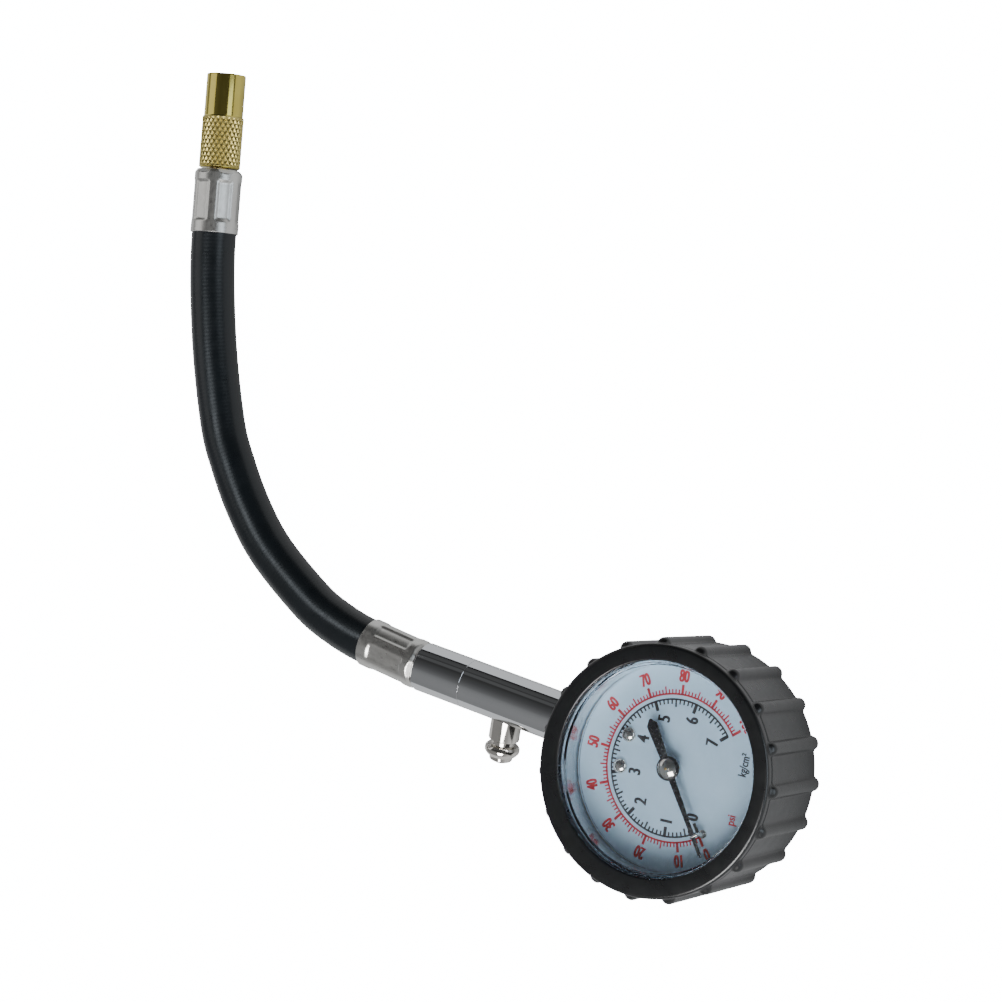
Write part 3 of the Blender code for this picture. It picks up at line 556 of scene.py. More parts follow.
def make_hose():
    """The rubber hose as a tube along its route, with the faint wrap of its curing cloth."""
    leaving = polar(1.0, 180.0 - FERRULE_TILT).to_3d()
    arriving = chuck_direction
    mouth = (FERRULE_LENGTH + HOSE_STRAIGHT) * MM
    inside = (HOSE_HIDDEN + HOSE_STRAIGHT) * MM
    start = Vector((-LOWER_FERRULE_START * MM, 0, STEM_Z * MM)) + leaving * mouth
    end = chuck_base - arriving * mouth
    route = smooth_route([start, *HOSE_BENDS, end], leaving, arriving, 0.38 * MM)
    route = [start - leaving * inside, *route, end + arriving * inside]
    length = sum((b - a).length for a, b in zip(route, route[1:]))
    sides = 40
    made = bmesh.new()
    rings = []
    walked = 0.0
    for i, point in enumerate(route):
        after = route[min(i + 1, len(route) - 1)]
        before = route[max(i - 1, 0)]
        walked += (point - before).length
        along = (after - before).normalized()
        side = along.cross(Vector((0, 0, 1))).normalized()
        top = side.cross(along)
        ring_points = []
        for k in range(sides):
            turn = math.tau * k / sides
            wave = math.cos(math.tau * walked / (WRAP_PITCH * MM) + turn)
            reach = (HOSE_RADIUS + WRAP_DEPTH * (wave - 1.0)) * MM
            outward = side * math.cos(turn) + top * math.sin(turn)
            ring_points.append(made.verts.new(point + outward * reach))
        rings.append(ring_points)
    skin(made, rings)
    hose = add_piece("hose_cover", to_mesh("hose_cover", made), "hose_rubber", "gauge",
                     sharp=60.0)
    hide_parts("hose")
    return hose, route, length


def eased(share):
    """A share cut to 0-1, that leaves both ends softly."""
    share = max(0.0, min(1.0, share))
    return share * share * (3 - 2 * share)


def crimp(turn):
    """The shape of a ferrule's six pressed dents, and of the facets on its shoulder."""
    def shape(angle, radius, height):
        if radius < FACET_INNER:
            return radius
        sweep = (angle - turn + 30.0) % 60.0 - 30.0
        facet = FACET_INNER + (FERRULE_RADIUS - FACET_INNER) * height / FACET_HEIGHT
        radius = min(radius, facet / math.cos(math.radians(sweep)))
        side = (DENT_HALF_WIDTH - abs(math.radians(sweep)) * FERRULE_RADIUS) / DENT_RAMP
        along = min(height - DENT_LOW, DENT_HIGH - height) / DENT_RAMP
        floor = (FERRULE_RADIUS - DENT_DEPTH) / math.cos(math.radians(0.6 * sweep))
        return radius - max(0.0, radius - floor) * eased(side) * eased(along)
    return shape


def make_ferrule(name, place, turn, node):
    """A crimped sleeve: a faceted shoulder at height 0, a thin rolled mouth at the hose."""
    top = FERRULE_LENGTH
    bore = HOSE_RADIUS + 0.02
    corners = [
        (bore, top, 0.0), (FERRULE_RADIUS - 0.12, top, 0.0), (FERRULE_RADIUS, top - 0.14, 0.05),
        (FERRULE_RADIUS, 0.9, 0.3), (FERRULE_RADIUS - 0.6, 0.0, 0.1), (4.0, 0.0, 0.0),
        (4.0, 0.9, 0.0), (5.4, 0.9, 0.0), (5.4, top - 4.0, 0.0), (bore, top - 2.8, 0.0),
    ]
    outline = dense(rounded(corners, 4), 0.25, 0.05, top - 0.1)
    made = turn_shape(outline, even_angles(180), closed=True, shape=crimp(turn))
    ferrule = add_piece(name, to_mesh(name, made), "tin", "gauge", place)
    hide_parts(node)
    return ferrule


def knurl(angle, radius, height):
    """Two families of raised spiral threads that cross, with pits between them."""
    low = KNURL_START + 0.5
    high = KNURL_END - 0.5
    if radius < KNURL_RADIUS - 0.1 or height < low or height > high:
        return radius
    share = min(1.0, (height - low) / 0.5, (high - height) / 0.5)
    turns = KNURL_COUNT * angle / 360.0
    rise = height / KNURL_PITCH
    ridges = []
    for phase in (turns + rise, turns - rise):
        away = abs((phase + 0.5) % 1.0 - 0.5)
        ridges.append(max(0.0, 1.0 - away / 0.34))
    return radius - KNURL_DEPTH * share * (1.0 - eased(max(ridges)))


def make_chuck():
    """The brass chuck with its knurl, polished nose and the seal and pin in its mouth."""
    corners = [
        (MOUTH_RADIUS + 0.35, NOSE_END, 0.0), (NOSE_RADIUS - 0.1, NOSE_END, 0.0),
        (NOSE_RADIUS, NOSE_END - 0.3, 0.1), (NOSE_RADIUS, KNURL_END, 0.0),
        (KNURL_RADIUS - 0.35, KNURL_END, 0.0), (KNURL_RADIUS, KNURL_END - 0.4, 0.1),
        (KNURL_RADIUS, KNURL_START + 0.4, 0.1), (KNURL_RADIUS - 0.4, KNURL_START, 0.0),
        (3.0, KNURL_START, 0.0), (3.0, 3.0, 0.0), (3.9, 3.0, 0.0),
        (3.9, MOUTH_FLOOR, 0.0), (MOUTH_RADIUS, MOUTH_FLOOR, 0.0),
        (MOUTH_RADIUS, NOSE_END - 0.4, 0.1),
    ]
    outline = dense(rounded(corners, 3), 0.16, KNURL_START + 0.3, KNURL_END - 0.3)
    made = turn_shape(outline, even_angles(KNURL_COUNT * 12), closed=True, shape=knurl)
    shell = add_piece("chuck_shell", to_mesh("chuck_shell", made), "chuck_brass", "chuck",
                      chuck_place)
    shell.data.materials.append(finishes["knurl_brass"].material)
    for face in shell.data.polygons:
        height = face.center.z / MM
        reach = face.center.xy.length / MM
        if reach > KNURL_RADIUS - 0.6 and KNURL_START + 0.3 < height < KNURL_END - 0.3:
            face.material_index = 1
    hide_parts("chuck_body")
    corners = [(1.5, 10.4, 0.3), (3.6, 10.4, 0.3), (3.6, 8.0, 0.2), (1.5, 8.0, 0.2)]
    seal = turned("chuck_washer", corners, "seal_rubber", "chuck", chuck_place, sides=64,
                  closed=True)
    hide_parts("chuck_seal")
    pin = turned("depressor", [(0, 15.0, 0), (0.5, 15.0, 0.1), (0.8, 14.6, 0.1), (0.8, 7.6, 0.1),
                               (3.3, 7.6, 0.1), (3.3, 6.8, 0.1), (0, 6.8, 0)],
                 "brass", "chuck", chuck_place, sides=48)
    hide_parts("depressor_pin")
    return [shell, seal, pin]


# ---------------------------------------------------------------- stem and bleed valve

def make_stem():
    """The chromed stem body and the connector behind its seam."""
    top = STEM_SEAM - 0.03
    corners = [
        (5.0, top, 0.0), (STEM_RADIUS - 0.07, top, 0.0), (STEM_RADIUS, top - 0.07, 0.03),
        (STEM_RADIUS, 32.2, 0.2), (STEM_RADIUS - 0.4, STEM_START, 0.0), (5.0, STEM_START, 0.0),
        (5.0, 40.0, 0.0), (2.0, 40.0, 0.0), (2.0, 63.0, 0.0), (3.2, 63.0, 0.0), (3.2, 70.5, 0.0),
        (5.0, 70.5, 0.0),
    ]
    body = turned("stem_tube", corners, "chrome", "gauge", stem_place, sides=128, closed=True)
    carve(body, solid_rod("port", 3.3, -1.6, 9.0, bleed_place))
    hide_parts("stem_body")
    end = CONNECTOR_END
    low = STEM_SEAM + 0.03
    root = end + 2.8
    corners = [(1.6, root + 13.5, 0.0)]
    for barb in (9.0, 4.5, 0.0):
        corners += [(2.7, root + barb + 4.5, 0.0), (3.2, root + barb + 0.2, 0.0)]
    corners += [(2.7, root, 0.0), (3.5, root - 0.2, 0.0), (3.5, end, 0.0),
                (STEM_RADIUS - 0.25, end, 0.0), (STEM_RADIUS, end - 0.25, 0.12),
                (STEM_RADIUS, low + 0.07, 0.03), (STEM_RADIUS - 0.07, low, 0.0), (4.7, low, 0.0),
                (4.7, 70.8, 0.0), (1.6, 70.8, 0.0)]
    sleeve = turned("connector_sleeve", corners, "chrome", "gauge", stem_place, sides=128,
                    closed=True)
    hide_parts("hose_connector")


def make_bleed_valve():
    """The valve's polished body and the button that lets air out."""
    corners = [(1.5, 3.0, 0.0), (4.4, 3.0, 0.0), (4.4, 12.2, 0.45), (3.6, 12.2, 0.0),
               (3.6, 8.7, 0.0), (1.5, 8.7, 0.0)]
    body = turned("bleed_body", corners, "nickel", "gauge", bleed_place, sides=96, closed=True)
    carve(body, solid_rod("saddle", STEM_RADIUS + 0.06, 40.0, 75.0, stem_place, sides=128))
    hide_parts("bleed_valve_body")
    corners = [
        (0, 19.0, 0), (1.9, 19.0, 0.5), (3.3, 18.3, 0.5), (3.3, 17.15, 0.15), (3.75, 17.1, 0.2),
        (4.3, 16.6, 0.3), (5.0, 15.7, 0.9), (5.0, 14.6, 0.8), (4.3, 13.8, 0.4), (3.2, 13.7, 0.2),
        (3.2, 11.0, 0.1), (2.5, 11.0, 0.1), (2.5, 14.3, 0.1), (1.1, 14.3, 0.1), (1.1, 16.2, 0.1),
        (0, 16.2, 0),
    ]
    button = turned("bleed_cap", corners, "nickel", "bleed_button", bleed_place, sides=96)
    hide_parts("bleed_button")


def make_spring(name, node, place, radius, wire, low, high, turns):
    """A compression spring, coiled turns times between the heights low and high."""
    made = bmesh.new()
    steps = round(turns * 28)
    sides = 10
    rings = []
    for i in range(steps + 1):
        out = polar(1.0, 360.0 * turns * i / steps).to_3d()
        middle = low + wire + (high - low - 2 * wire) * i / steps
        ring_points = []
        for k in range(sides):
            turn = math.tau * k / sides
            point = out * (radius + wire * math.cos(turn))
            point.z = middle + wire * math.sin(turn)
            ring_points.append(made.verts.new(point * MM))
        rings.append(ring_points)
    skin(made, rings)
    spring = add_piece(name, to_mesh(name, made), "steel", "gauge", place, sharp=50.0)
    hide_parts(node)
    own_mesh(spring)


# ---------------------------------------------------------------- head

def rib_height(away):
    """Height of a rib above the wall at a distance from its middle line."""
    slant = math.sqrt((RIB_RADIUS + RIB_FILLET)**2 - (RIB_FILLET + RIB_SUNK)**2)
    meeting = slant * RIB_RADIUS / (RIB_RADIUS + RIB_FILLET)
    if away < meeting:
        return math.sqrt(RIB_RADIUS**2 - away**2) - RIB_SUNK
    if away < slant:
        return RIB_FILLET - math.sqrt(RIB_FILLET**2 - (slant - away)**2)
    return 0.0


def boot_wall(angle, radius, height):
    """The wall's ribs with rounded ends, and the groove behind the rim."""
    on_back_fillet = height <= BOOT_BACK_FILLET - 0.1
    inset = BOOT_BACK_FILLET - 0.02 if on_back_fillet else 0.02
    if height > WALL_TOP or radius < BOOT_RADIUS - inset:
        return radius
    pitch = 360.0 / RIB_COUNT
    sweep = (angle - RIB_FIRST_ANGLE + pitch / 2) % pitch - pitch / 2
    side = abs(math.sin(math.radians(sweep))) * BOOT_RADIUS
    past = max(0.0, RIB_LOW - height, height - RIB_HIGH)
    rise = rib_height((side**RIB_END_POWER + past**RIB_END_POWER)**(1 / RIB_END_POWER))
    dip = math.exp(-((height - GROOVE_HEIGHT) / GROOVE_WIDTH)**2)
    return radius + rise - GROOVE_DEPTH * dip * max(0.0, 1.0 - rise)


def lean_boot(made, top):
    """Narrow the outside towards the back and shift it sideways; the cavity stays in place."""
    for vertex in made.verts:
        height = vertex.co.z / MM
        reach = vertex.co.xy.length / MM
        if height > 30.0:
            weight = eased((reach - BOOT_OPENING - 0.6) / 3.4)
        elif height > 1.0 and reach < BOOT_CAVITY + 0.1:
            weight = 0.0
        else:
            weight = 1.0
        share = height / top
        width = 1.0 - BOOT_DRAFT / BOOT_RADIUS * (1.0 - share) * weight
        shift = Vector(BOOT_BACK_SHIFT).lerp(Vector(BOOT_RIM_SHIFT), share) * weight * MM
        vertex.co.x = vertex.co.x * width + shift.x
        vertex.co.y = vertex.co.y * width + shift.y


def make_boot():
    """The rubber boot with its grip ribs, and the hole for the stem."""
    top = cad_high.z / MM
    corners = [
        (0, BOOT_BACK, 0), (BOOT_CAVITY, BOOT_BACK, 0.5), (BOOT_CAVITY, BOOT_LIP_LOW, 0),
        (BOOT_OPENING, BOOT_LIP_LOW, 0.2), (BOOT_OPENING, top, 0.55), (BOOT_RADIUS, top, 1.0),
        (BOOT_RADIUS, 0.0, BOOT_BACK_FILLET), (0, 0.0, 0),
    ]
    outline = dense(rounded(corners, 7), 0.24, 1.8, top - 0.9)
    # Angles are closer together across each rib, which lies within edge degrees of its middle
    edge = 4.6
    half = 180.0 / RIB_COUNT
    offsets = [-half + (half - edge) * i / 4 for i in range(4)]
    offsets += [-edge + 2 * edge * i / 22 for i in range(22)]
    offsets += [edge + (half - edge) * i / 4 for i in range(4)]
    angles = []
    for i in range(RIB_COUNT):
        middle = RIB_FIRST_ANGLE + 360.0 * i / RIB_COUNT
        angles += [middle + offset for offset in offsets]
    made = turn_shape(outline, angles, shape=boot_wall)
    lean_boot(made, top)
    boot = add_piece("boot_skin", to_mesh("boot_skin", made), "boot_rubber", "gauge", sharp=40.0)
    carve(boot, solid_rod("stem_hole", STEM_RADIUS + 0.35, 25.0, 45.0, stem_place))
    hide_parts("boot")


def make_window():
    """The clear window: a flat front, a flange under the boot's lip and a skirt on the dial."""
    corners = [
        (0, 31.2, 0), (28.8, 31.2, 0.3), (28.8, 29.9, 0.1), (31.3, 29.9, 0.1), (31.3, 28.8, 0.1),
        (28.8, 28.8, 0.1), (28.8, 20.6, 0.2), (28.1, 20.6, 0.2), (28.1, 29.2, 0.3), (0, 29.2, 0),
    ]
    window = turned("window", corners, "crystal", "gauge", sides=160)
    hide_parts("crystal")


def psi_angle(pressure):
    """Where a pressure stands on the dial. The stretch down to zero is cut short."""
    if pressure == 0:
        return ZERO_ANGLE
    return ANGLE_AT_50 + (50 - pressure) * DEGREES_PER_PSI


def add_arc(shape, radius, width, start, end):
    """A thin printed arc as one closed band."""
    section = ((-0.5, PRINT_LOW), (0.5, PRINT_LOW), (0.5, PRINT_HIGH), (-0.5, PRINT_HIGH))
    count = 120
    rings = []
    for i in range(count + 1):
        angle = start + (end - start) * i / count
        ring_points = []
        for reach, height in section:
            flat = polar(radius + reach * width, angle) * MM
            ring_points.append(shape.verts.new((flat.x, flat.y, height * MM)))
        rings.append(ring_points)
    skin(shape, rings)


def add_tick(shape, angle, inner, outer, width):
    """A printed mark between two radii."""
    along = polar(1.0, angle)
    across = Vector((-along.y, along.x)) * width / 2
    near, far = along * inner, along * outer
    corners = [near - across, far - across, far + across, near + across]
    add_prism(shape, corners, PRINT_LOW, PRINT_HIGH)


def add_words(shape, words, place, upward, cap_height, condense, bold):
    """Lettering centred at place, its capitals' tops pointing along upward (degrees).

    Condensing thins the upright strokes, so three copies side by side make them bold again.
    """
    curve = bpy.data.curves.new("lettering", "FONT")
    curve.body = words
    curve.extrude = 0.5
    curve.offset = FONT_OFFSET
    curve.resolution_u = 4
    item = bpy.data.objects.new("lettering", curve)
    bpy.context.scene.collection.objects.link(item)
    bpy.context.view_layer.update()
    graph = bpy.context.evaluated_depsgraph_get()
    mesh = bpy.data.meshes.new_from_object(item.evaluated_get(graph))
    bpy.data.objects.remove(item)
    xs = [v.co.x for v in mesh.vertices]
    ys = [v.co.y for v in mesh.vertices]
    size = cap_height / FONT_CAP_HEIGHT
    middle_x = (min(xs) + max(xs)) / 2
    middle_y = (min(ys) + max(ys)) / 2
    turn = Matrix.Rotation(math.radians(upward - 90.0), 2)
    letters = bmesh.new()
    letters.from_mesh(mesh)
    bmesh.ops.remove_doubles(letters, verts=letters.verts, dist=1e-5)
    for vertex in letters.verts:
        flat = Vector(((vertex.co.x - middle_x) * size * condense,
                       (vertex.co.y - middle_y) * size))
        flat = turn @ flat + Vector(place)
        height = PRINT_HIGH if vertex.co.z > 0 else PRINT_LOW
        vertex.co = Vector((flat.x, flat.y, height)) * MM
    aside = (turn @ Vector((bold, 0))).to_3d() * MM
    for sideways, lift in ((0.0, 0.0), (-1.0, -0.002), (1.0, -0.004)):
        copy = letters.copy()
        step = aside * sideways + Vector((0, 0, lift * MM))
        bmesh.ops.translate(copy, verts=copy.verts, vec=step)
        copy.to_mesh(mesh)
        copy.free()
        shape.from_mesh(mesh)
    letters.free()
    bpy.data.meshes.remove(mesh)


def make_print():
    """Red psi scale outside, black kg/cm2 scale inside."""
    red = bmesh.new()
    add_arc(red, 20.05, 0.50, ZERO_ANGLE + 0.9, psi_angle(100) - 0.9)
    for pressure in [0, *range(FIRST_PSI, 101)]:
        if pressure % 10 == 0:
            add_tick(red, psi_angle(pressure), 19.9, 22.7, 0.75)
        elif pressure % 5 == 0:
            add_tick(red, psi_angle(pressure), 20.1, 22.1, 0.42)
        else:
            add_tick(red, psi_angle(pressure), 20.1, 21.3, 0.40)
    numeral_angles = {0: -48.7, 100: 45.5}
    for pressure in range(0, 101, 10):
        angle = numeral_angles.get(pressure, psi_angle(pressure))
        add_words(red, str(pressure), polar(25.1, angle), angle, 3.45, 0.61, 0.16)
    add_words(red, "psi", (21.0, -7.7), 185.0, 2.5, 0.75, 0.06)
    printed = add_piece("dial_print_red", to_mesh("dial_print_red", red), "print_red", "gauge")
    printed.data.shade_flat()

    black = bmesh.new()
    add_arc(black, 18.6, 0.48, ZERO_ANGLE + 0.6, psi_angle(7 * PSI_PER_KG) - 0.6)
    for tenth in [0, *range(3, 71)]:
        angle = psi_angle(tenth / 10 * PSI_PER_KG)
        if tenth % 10 == 0:
            add_tick(black, angle, 16.0, 18.7, 0.95)
        elif tenth % 5 == 0:
            add_tick(black, angle, 16.5, 18.6, 0.50)
        else:
            add_tick(black, angle, 17.3, 18.6, 0.46)
    numeral_places = ((9.43, -10.72), (2.40, -14.24), (-6.64, -11.62), (-10.72, -4.51),
                      (-10.90, 4.74), (-6.49, 11.95), (1.59, 14.08), (9.07, 10.33))
    for number, place in enumerate(numeral_places):
        add_words(black, str(number), place, 187.0, 3.75, 0.70, 0.15)
    add_words(black, "kg/cm²", (20.2, 7.6), 184.7, 2.5, 0.68, 0.05)
    printed = add_piece("dial_print_black", to_mesh("dial_print_black", black), "print_black",
                        "gauge")
    printed.data.shade_flat()


def dome_arc(width, rise, rim, steps):
    """Outline of a dome, from its top out to its rim."""
    turns = [math.pi / 2 * i / steps for i in range(steps + 1)]
    return [Vector((width * math.sin(turn), rim + rise * math.cos(turn))) for turn in turns]


def make_dial_fittings():
    """The two domed screws and the stop pin, whose bent end reaches over the needle."""
    low = DIAL_TOP + 0.02
    outline = [*dome_arc(2.1, 1.3, low + 0.15, 10), Vector((2.1, low)), Vector((0.65, low)),
               Vector((0.65, 16.9)), Vector((0, 16.9))]
    for i, side in enumerate((1, -1)):
        place = Matrix.Translation((DIAL_SCREW_X * MM, side * DIAL_SCREW_Y * MM, 0))
        screw = turned(f"dial_rivet_{i + 1}", None, "nickel", "gauge", place, sides=48,
                       outline=outline)
        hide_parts(f"dial_screw_{i + 1}")
    pin_low, pin_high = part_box("stop_pin")
    middle = (pin_low + pin_high) / 2
    place = Matrix.Translation((middle.x, middle.y, 0))
    base = [point for point in dome_arc(1.25, 0.7, low, 8) if point.x > 0.5]
    outline = [Vector((0, 24.6)), Vector((0.35, 24.55)), Vector((0.5, 24.3)),
               Vector((0.5, low + 0.8)), *base, Vector((0.6, low - 0.1)), Vector((0.6, 18.6)),
               Vector((0, 18.6))]
    pin = turned("stop_post", None, "nickel", "gauge", place, sides=40, outline=outline)
    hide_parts("stop_pin")
    reach_over = polar(1.0, math.degrees(math.atan2(middle.y, middle.x)) - 90.0)
    finger_base = Vector((middle.x, middle.y, 24.2 * MM)) - reach_over.to_3d() * 0.3 * MM
    finger_place = axis_place(finger_base, (reach_over.x, reach_over.y, 0.05))
    corners = [(0, 2.3, 0), (0.36, 2.3, 0.3), (0.42, 0.4, 0.2), (0.42, 0.0, 0.2), (0, 0.0, 0)]
    turned("stop_finger", corners, "nickel", "gauge", finger_place, sides=32)


def dome_outline(radius, rise, rim, foot):
    """A spherical cap of that rise above its rim, on a short wall down to its foot."""
    sphere = (radius**2 + rise**2) / (2 * rise)
    spread = math.asin(radius / sphere)
    points = []
    for i in range(13):
        turn = spread * i / 12
        points.append(Vector((sphere * math.sin(turn), rim + rise - sphere * (1 - math.cos(turn)))))
    points.append(Vector((radius, rim - 0.1)))
    points.append(Vector((radius - 0.1, foot)))
    points.append(Vector((0, foot)))
    return points


def make_pointer():
    """The needle with its ring, the domed cap and the arbor's brass end."""
    tip = [(2.5, -0.93), (POINTER_LENGTH, -0.40), (POINTER_LENGTH, 0.40), (2.5, 0.93)]
    made = bmesh.new()
    low, high = POINTER_Z + 0.02, POINTER_Z + 0.45
    add_prism(made, tip, low, high)
    tail = [(-2.4, 1.1), (-POINTER_TAIL + 1.7, 1.6), (-POINTER_TAIL, 0.25), (-POINTER_TAIL, -0.25),
            (-POINTER_TAIL + 1.7, -1.6), (-2.4, -1.1)]
    add_prism(made, tail, low, high)
    edges = [e for e in made.edges if abs(e.verts[0].co.z - e.verts[1].co.z) < 1e-7
             and e.verts[0].co.z > (low + high) / 2 * MM]
    bmesh.ops.bevel(made, geom=edges, offset=0.12 * MM, segments=2, affect="EDGES", profile=0.5)
    place = Matrix.Rotation(math.radians(POINTER_REST), 4, "Z")
    add_piece("needle", to_mesh("needle", made), "pointer_paint", "pointer", place, sharp=50.0)
    ring_corners = [(0.9, 23.6, 0.0), (HUB_RADIUS, 23.6, 0.2), (HUB_RADIUS, 23.0, 0.15),
                    (1.7, 22.95, 0.1), (1.7, 21.5, 0.1), (0.9, 21.5, 0.0)]
    hub = turned("needle_hub", ring_corners, "pointer_paint", "pointer", sides=72, closed=True)
    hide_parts("pointer")
    cap = turned("hub_cap", None, "nickel", "pointer", sides=72,
                 outline=dome_outline(CAP_RADIUS, 0.85, 24.0, 23.65))
    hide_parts("pointer_cap")
    corners = [(0, 24.93, 0), (0.36, 24.93, 0.08), (0.36, 24.6, 0), (0, 24.6, 0)]
    turned("arbor_end", corners, "brass", "pointer", sides=32)


def make_bourdon_tube():
    """The flattened tube, bent between the block that holds its root and its moving tip."""
    steps, sides = 96, 20
    made = bmesh.new()
    outer_rings, inner_rings = [], []
    for rings, inset in ((outer_rings, 0.0), (inner_rings, TUBE_WALL)):
        for i in range(steps + 1):
            angle = TUBE_START + (TUBE_END - TUBE_START) * i / steps
            ring_points = []
            for k in range(sides):
                turn = math.tau * k / sides
                reach = TUBE_RADIUS + (TUBE_HALF_THICKNESS - inset) * math.cos(turn)
                flat = polar(reach * MM, angle)
                height = (STEM_Z + (TUBE_HALF_HEIGHT - inset) * math.sin(turn)) * MM
                ring_points.append(made.verts.new((flat.x, flat.y, height)))
            rings.append(ring_points)
        for a, b in zip(rings, rings[1:]):
            bridge(made, a, b)
    bridge(made, outer_rings[0], inner_rings[0])
    bridge(made, outer_rings[-1], inner_rings[-1])
    mesh = to_mesh("bourdon_spring", made)
    mesh.shade_smooth()
    mesh.materials.append(finishes["bronze"].material)
    tube = bpy.data.objects.new("bourdon_spring", mesh)
    bpy.context.scene.collection.objects.link(tube)
    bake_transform(tube)
    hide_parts("bourdon_tube")


def finish_inner_nodes():
    """Finishes of the CAD nodes that stay. Those that aren't listed are brass."""
    inner = {
        "case_steel": ["case"],
        "seal_rubber": ["crystal_gasket", "vent_plug", "bleed_o_ring"],
        "dial": ["dial_plate"],
        "steel": ["link", "movement_screw_1", "movement_screw_2", "case_screw_1", "case_screw_2"],
        "bronze": ["hairspring"],
    }
    chosen = {node: finish for finish, nodes in inner.items() for node in nodes}
    for name, node in frame["nodes"].items():
        if node.hide_render:
            continue
        finish = finishes[chosen.get(name, "brass")].material
        node.data.materials.clear()
        node.data.materials.append(finish)


# ---------------------------------------------------------------- floor and light

FLOOR_GLOW = 0.72              # what the object sees of the floor
FLOOR_PAINTED_SHADE_REACH = 12.0       # painted shade: ambient occlusion darkens the floor's glow this near to the object
BACKDROP_GLOW = 16.0           # what the camera sees of the floor and the backdrop
# Brightness of the studio by angle from the zenith, from the -Y side to the +Y side
SWEEP_Y = ((-90, 0.24), (-50, 0.26), (-30, 0.245), (-18, 0.21), (-7, 0.14), (5, 0.10), (17, 0.07),
           (29, 0.055), (41, 0.035), (44, 0.09), (56, 0.09), (60, 0.03), (64, 0.075), (72, 0.07),
           (80, 0.065), (84, 0.018), (90, 0.016))
# and from the -X side to the +X side
SWEEP_X = ((-90, 1.0), (-20, 1.0), (5, 0.8), (30, 1.1), (60, 1.4), (78, 2.2), (90, 2.6))


def world_math(tree, operation, *values):
    """A math node's result. Each value is a number or another node's output."""
    node = tree.nodes.new("ShaderNodeMath")
    node.operation = operation
    for socket, value in zip(node.inputs, values):
        if isinstance(value, (int, float)):
            socket.default_value = value
        else:
            tree.links.new(value, socket)
    return node.outputs[0]


def world_sweep(tree, across, upward, stops):
    """A brightness that depends on the angle from the zenith in one upright plane."""
    angle = world_math(tree, "ARCTAN2", across, upward)
    share = world_math(tree, "MULTIPLY_ADD", angle, 1 / math.pi, 0.5)
    ramp = tree.nodes.new("ShaderNodeValToRGB")
    tree.links.new(share, ramp.inputs["Fac"])
    elements = ramp.color_ramp.elements
    elements.remove(elements[1])
    for i, (degrees, value) in enumerate(stops):
        element = elements[0] if i == 0 else elements.new(degrees / 180.0 + 0.5)
        element.position = degrees / 180.0 + 0.5
        element.color = (value, value, value, 1.0)
    return world_math(tree, "MULTIPLY", ramp.outputs["Color"], 1.0)    # from a colour to a number


def make_world():
    """The studio: a soft sweep of light for the object, and white for the camera."""
    world = bpy.data.worlds.new("studio")
    bpy.context.scene.world = world
    world.use_nodes = True
    tree = world.node_tree
    place = tree.nodes.new("ShaderNodeTexCoord")
    split = tree.nodes.new("ShaderNodeSeparateXYZ")
    tree.links.new(place.outputs["Generated"], split.inputs["Vector"])
    x, y, z = split.outputs
    first = world_sweep(tree, y, z, SWEEP_Y)
    second = world_sweep(tree, x, z, SWEEP_X)
    glow = world_math(tree, "MULTIPLY", first, second)
    path = tree.nodes.new("ShaderNodeLightPath")
    seen = world_math(tree, "MULTIPLY", path.outputs["Is Camera Ray"], BACKDROP_GLOW)
    total = world_math(tree, "ADD", glow, seen)
    background = tree.nodes["Background"]
    background.inputs["Color"].default_value = (0.97, 0.985, 1.0, 1.0)
    tree.links.new(total, background.inputs["Strength"])


def make_floor():
    """A pale floor, white for the camera, whose glow for the object is darkened near it by ambient
    occlusion: painted shade.
    """
    made = bmesh.new()
    bmesh.ops.create_grid(made, x_segments=8, y_segments=8, size=3.0)
    floor = bpy.data.objects.new("floor", to_mesh("floor", made))
    bpy.context.scene.collection.objects.link(floor)
    floor.location.z = -0.02 * MM
    material = bpy.data.materials.new("pale_floor")
    material.use_nodes = True
    tree = material.node_tree
    tree.nodes.remove(tree.nodes["Principled BSDF"])
    # painted shade: ambient occlusion darkens the glow that the object sees near itself
    shade = tree.nodes.new("ShaderNodeAmbientOcclusion")
    shade.samples = 8
    shade.inputs["Distance"].default_value = FLOOR_PAINTED_SHADE_REACH * MM
    glow = world_math(tree, "MULTIPLY", shade.outputs["AO"], FLOOR_GLOW)
    path = tree.nodes.new("ShaderNodeLightPath")
    seen = world_math(tree, "MULTIPLY_ADD", path.outputs["Is Camera Ray"], BACKDROP_GLOW, glow)
    lit = tree.nodes.new("ShaderNodeEmission")
    lit.inputs["Color"].default_value = (0.96, 0.98, 1.0, 1.0)
    tree.links.new(seen, lit.inputs["Strength"])
    tree.links.new(lit.outputs["Emission"], tree.nodes["Material Output"].inputs["Surface"])
    floor.data.materials.append(material)


def make_softbox(name, place, target, width, height, radiance, colour=(1.0, 1.0, 1.0)):
    """A rectangular lamp that faces target."""
    data = bpy.data.lights.new(name, "AREA")
    data.shape = "RECTANGLE"
    data.size = width
    data.size_y = height
    data.energy = radiance * math.pi * width * height
    data.color = colour
    lamp = bpy.data.objects.new(name, data)
    bpy.context.scene.collection.objects.link(lamp)
    lamp.location = place
    lamp.rotation_mode = "QUATERNION"
    lamp.rotation_quaternion = (Vector(target) - Vector(place)).to_track_quat("-Z", "Y")
    return lamp


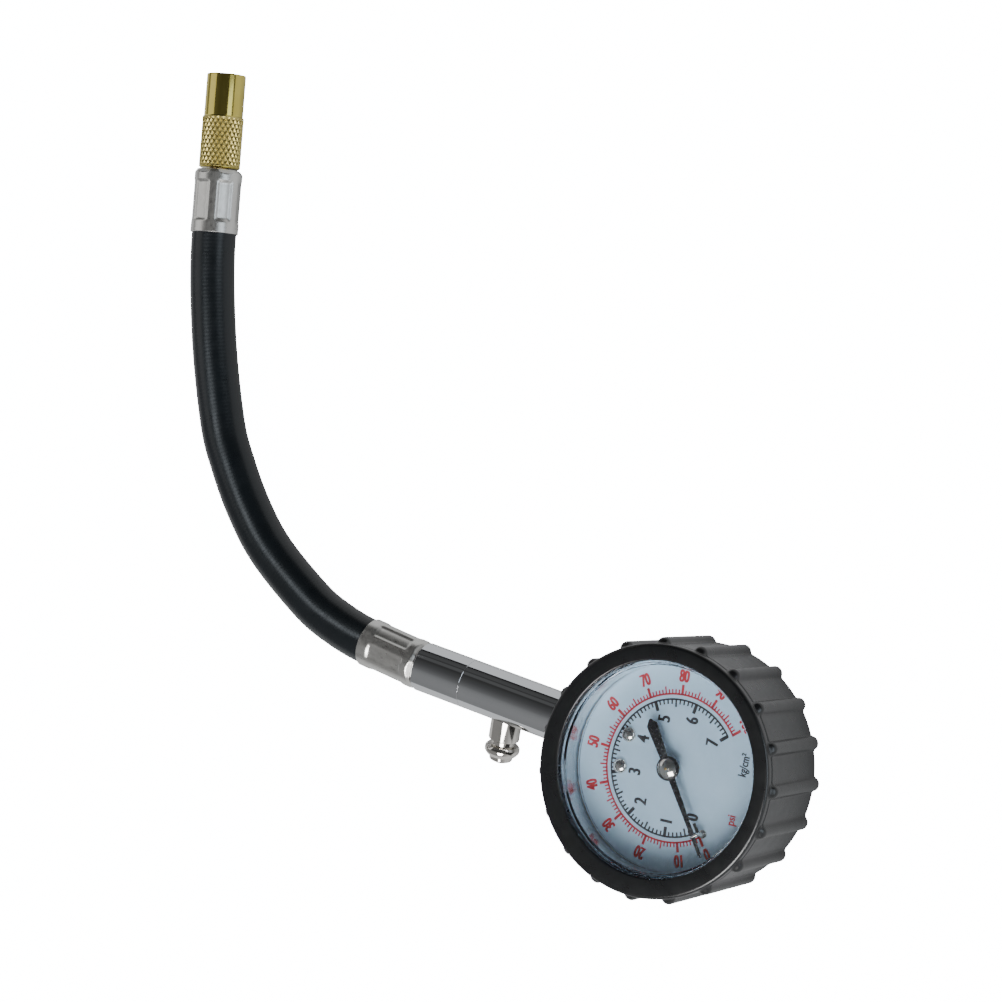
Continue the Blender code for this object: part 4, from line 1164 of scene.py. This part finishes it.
def make_lights():
    """The world, the floor, and four cards, the last of which lights the hose alone."""
    make_world()
    make_floor()
    make_softbox("key", (0.20, -0.40, 0.62), (0.0, 0.0, 0.02), 0.40, 0.34, 15.0)
    make_softbox("right_card", (0.62, 0.20, 0.34), (0.0, 0.04, 0.02), 0.50, 0.40, 2.0,
                 (0.80, 0.90, 1.0))
    make_softbox("left_card", (-0.62, 0.125, 0.25), (-0.62, 0.125, 0.0), 0.58, 0.35, 0.78)
    sheen = make_softbox("hose_card", (-0.19, 0.055, 0.20), (-0.185, 0.055, 0.0), 0.06, 0.09, 4.5,
                         (0.86, 0.93, 1.0))
    lit = bpy.data.collections.new("lit_by_hose_card")
    lit.objects.link(hose)
    sheen.light_linking.receiver_collection = lit


# ---------------------------------------------------------------- the gauge

make_camera()

stem_place = axis_place((0, 0, STEM_Z * MM), (-1, 0, 0))
press = Vector(joints["bleed_press"]["axis"])
bleed_place = axis_place((-BLEED_STATION * MM, 0, STEM_Z * MM), -press)
chuck_direction = Vector(joints["chuck_swivel"]["axis"])
chuck_base = Vector(CHUCK_BASE) * MM
chuck_place = axis_place(chuck_base, chuck_direction)
lower_place = axis_place((-LOWER_FERRULE_START * MM, 0, STEM_Z * MM),
                         polar(1.0, 180.0 - FERRULE_TILT).to_3d())
upper_place = axis_place(chuck_base, -chuck_direction)

finishes = make_finishes()

hose, hose_route, hose_length = make_hose()
make_ferrule("crimped_ferrule_lower", lower_place, LOWER_CRIMP_TURN, "lower_ferrule")
upper_ferrule = make_ferrule("crimped_ferrule_upper", upper_place, UPPER_CRIMP_TURN,
                             "upper_ferrule")
chuck_pieces = make_chuck()

make_stem()
make_bleed_valve()
make_spring("button_spring", "bleed_spring", bleed_place, 1.8, 0.3, 9.0, 13.9, 3.0)
make_spring("poppet_spring", "check_spring", stem_place, 2.1, 0.25, 63.2, 68.6, 3.5)
make_boot()
make_window()
make_print()
make_dial_fittings()
make_pointer()
make_bourdon_tube()
finish_inner_nodes()
make_lights()
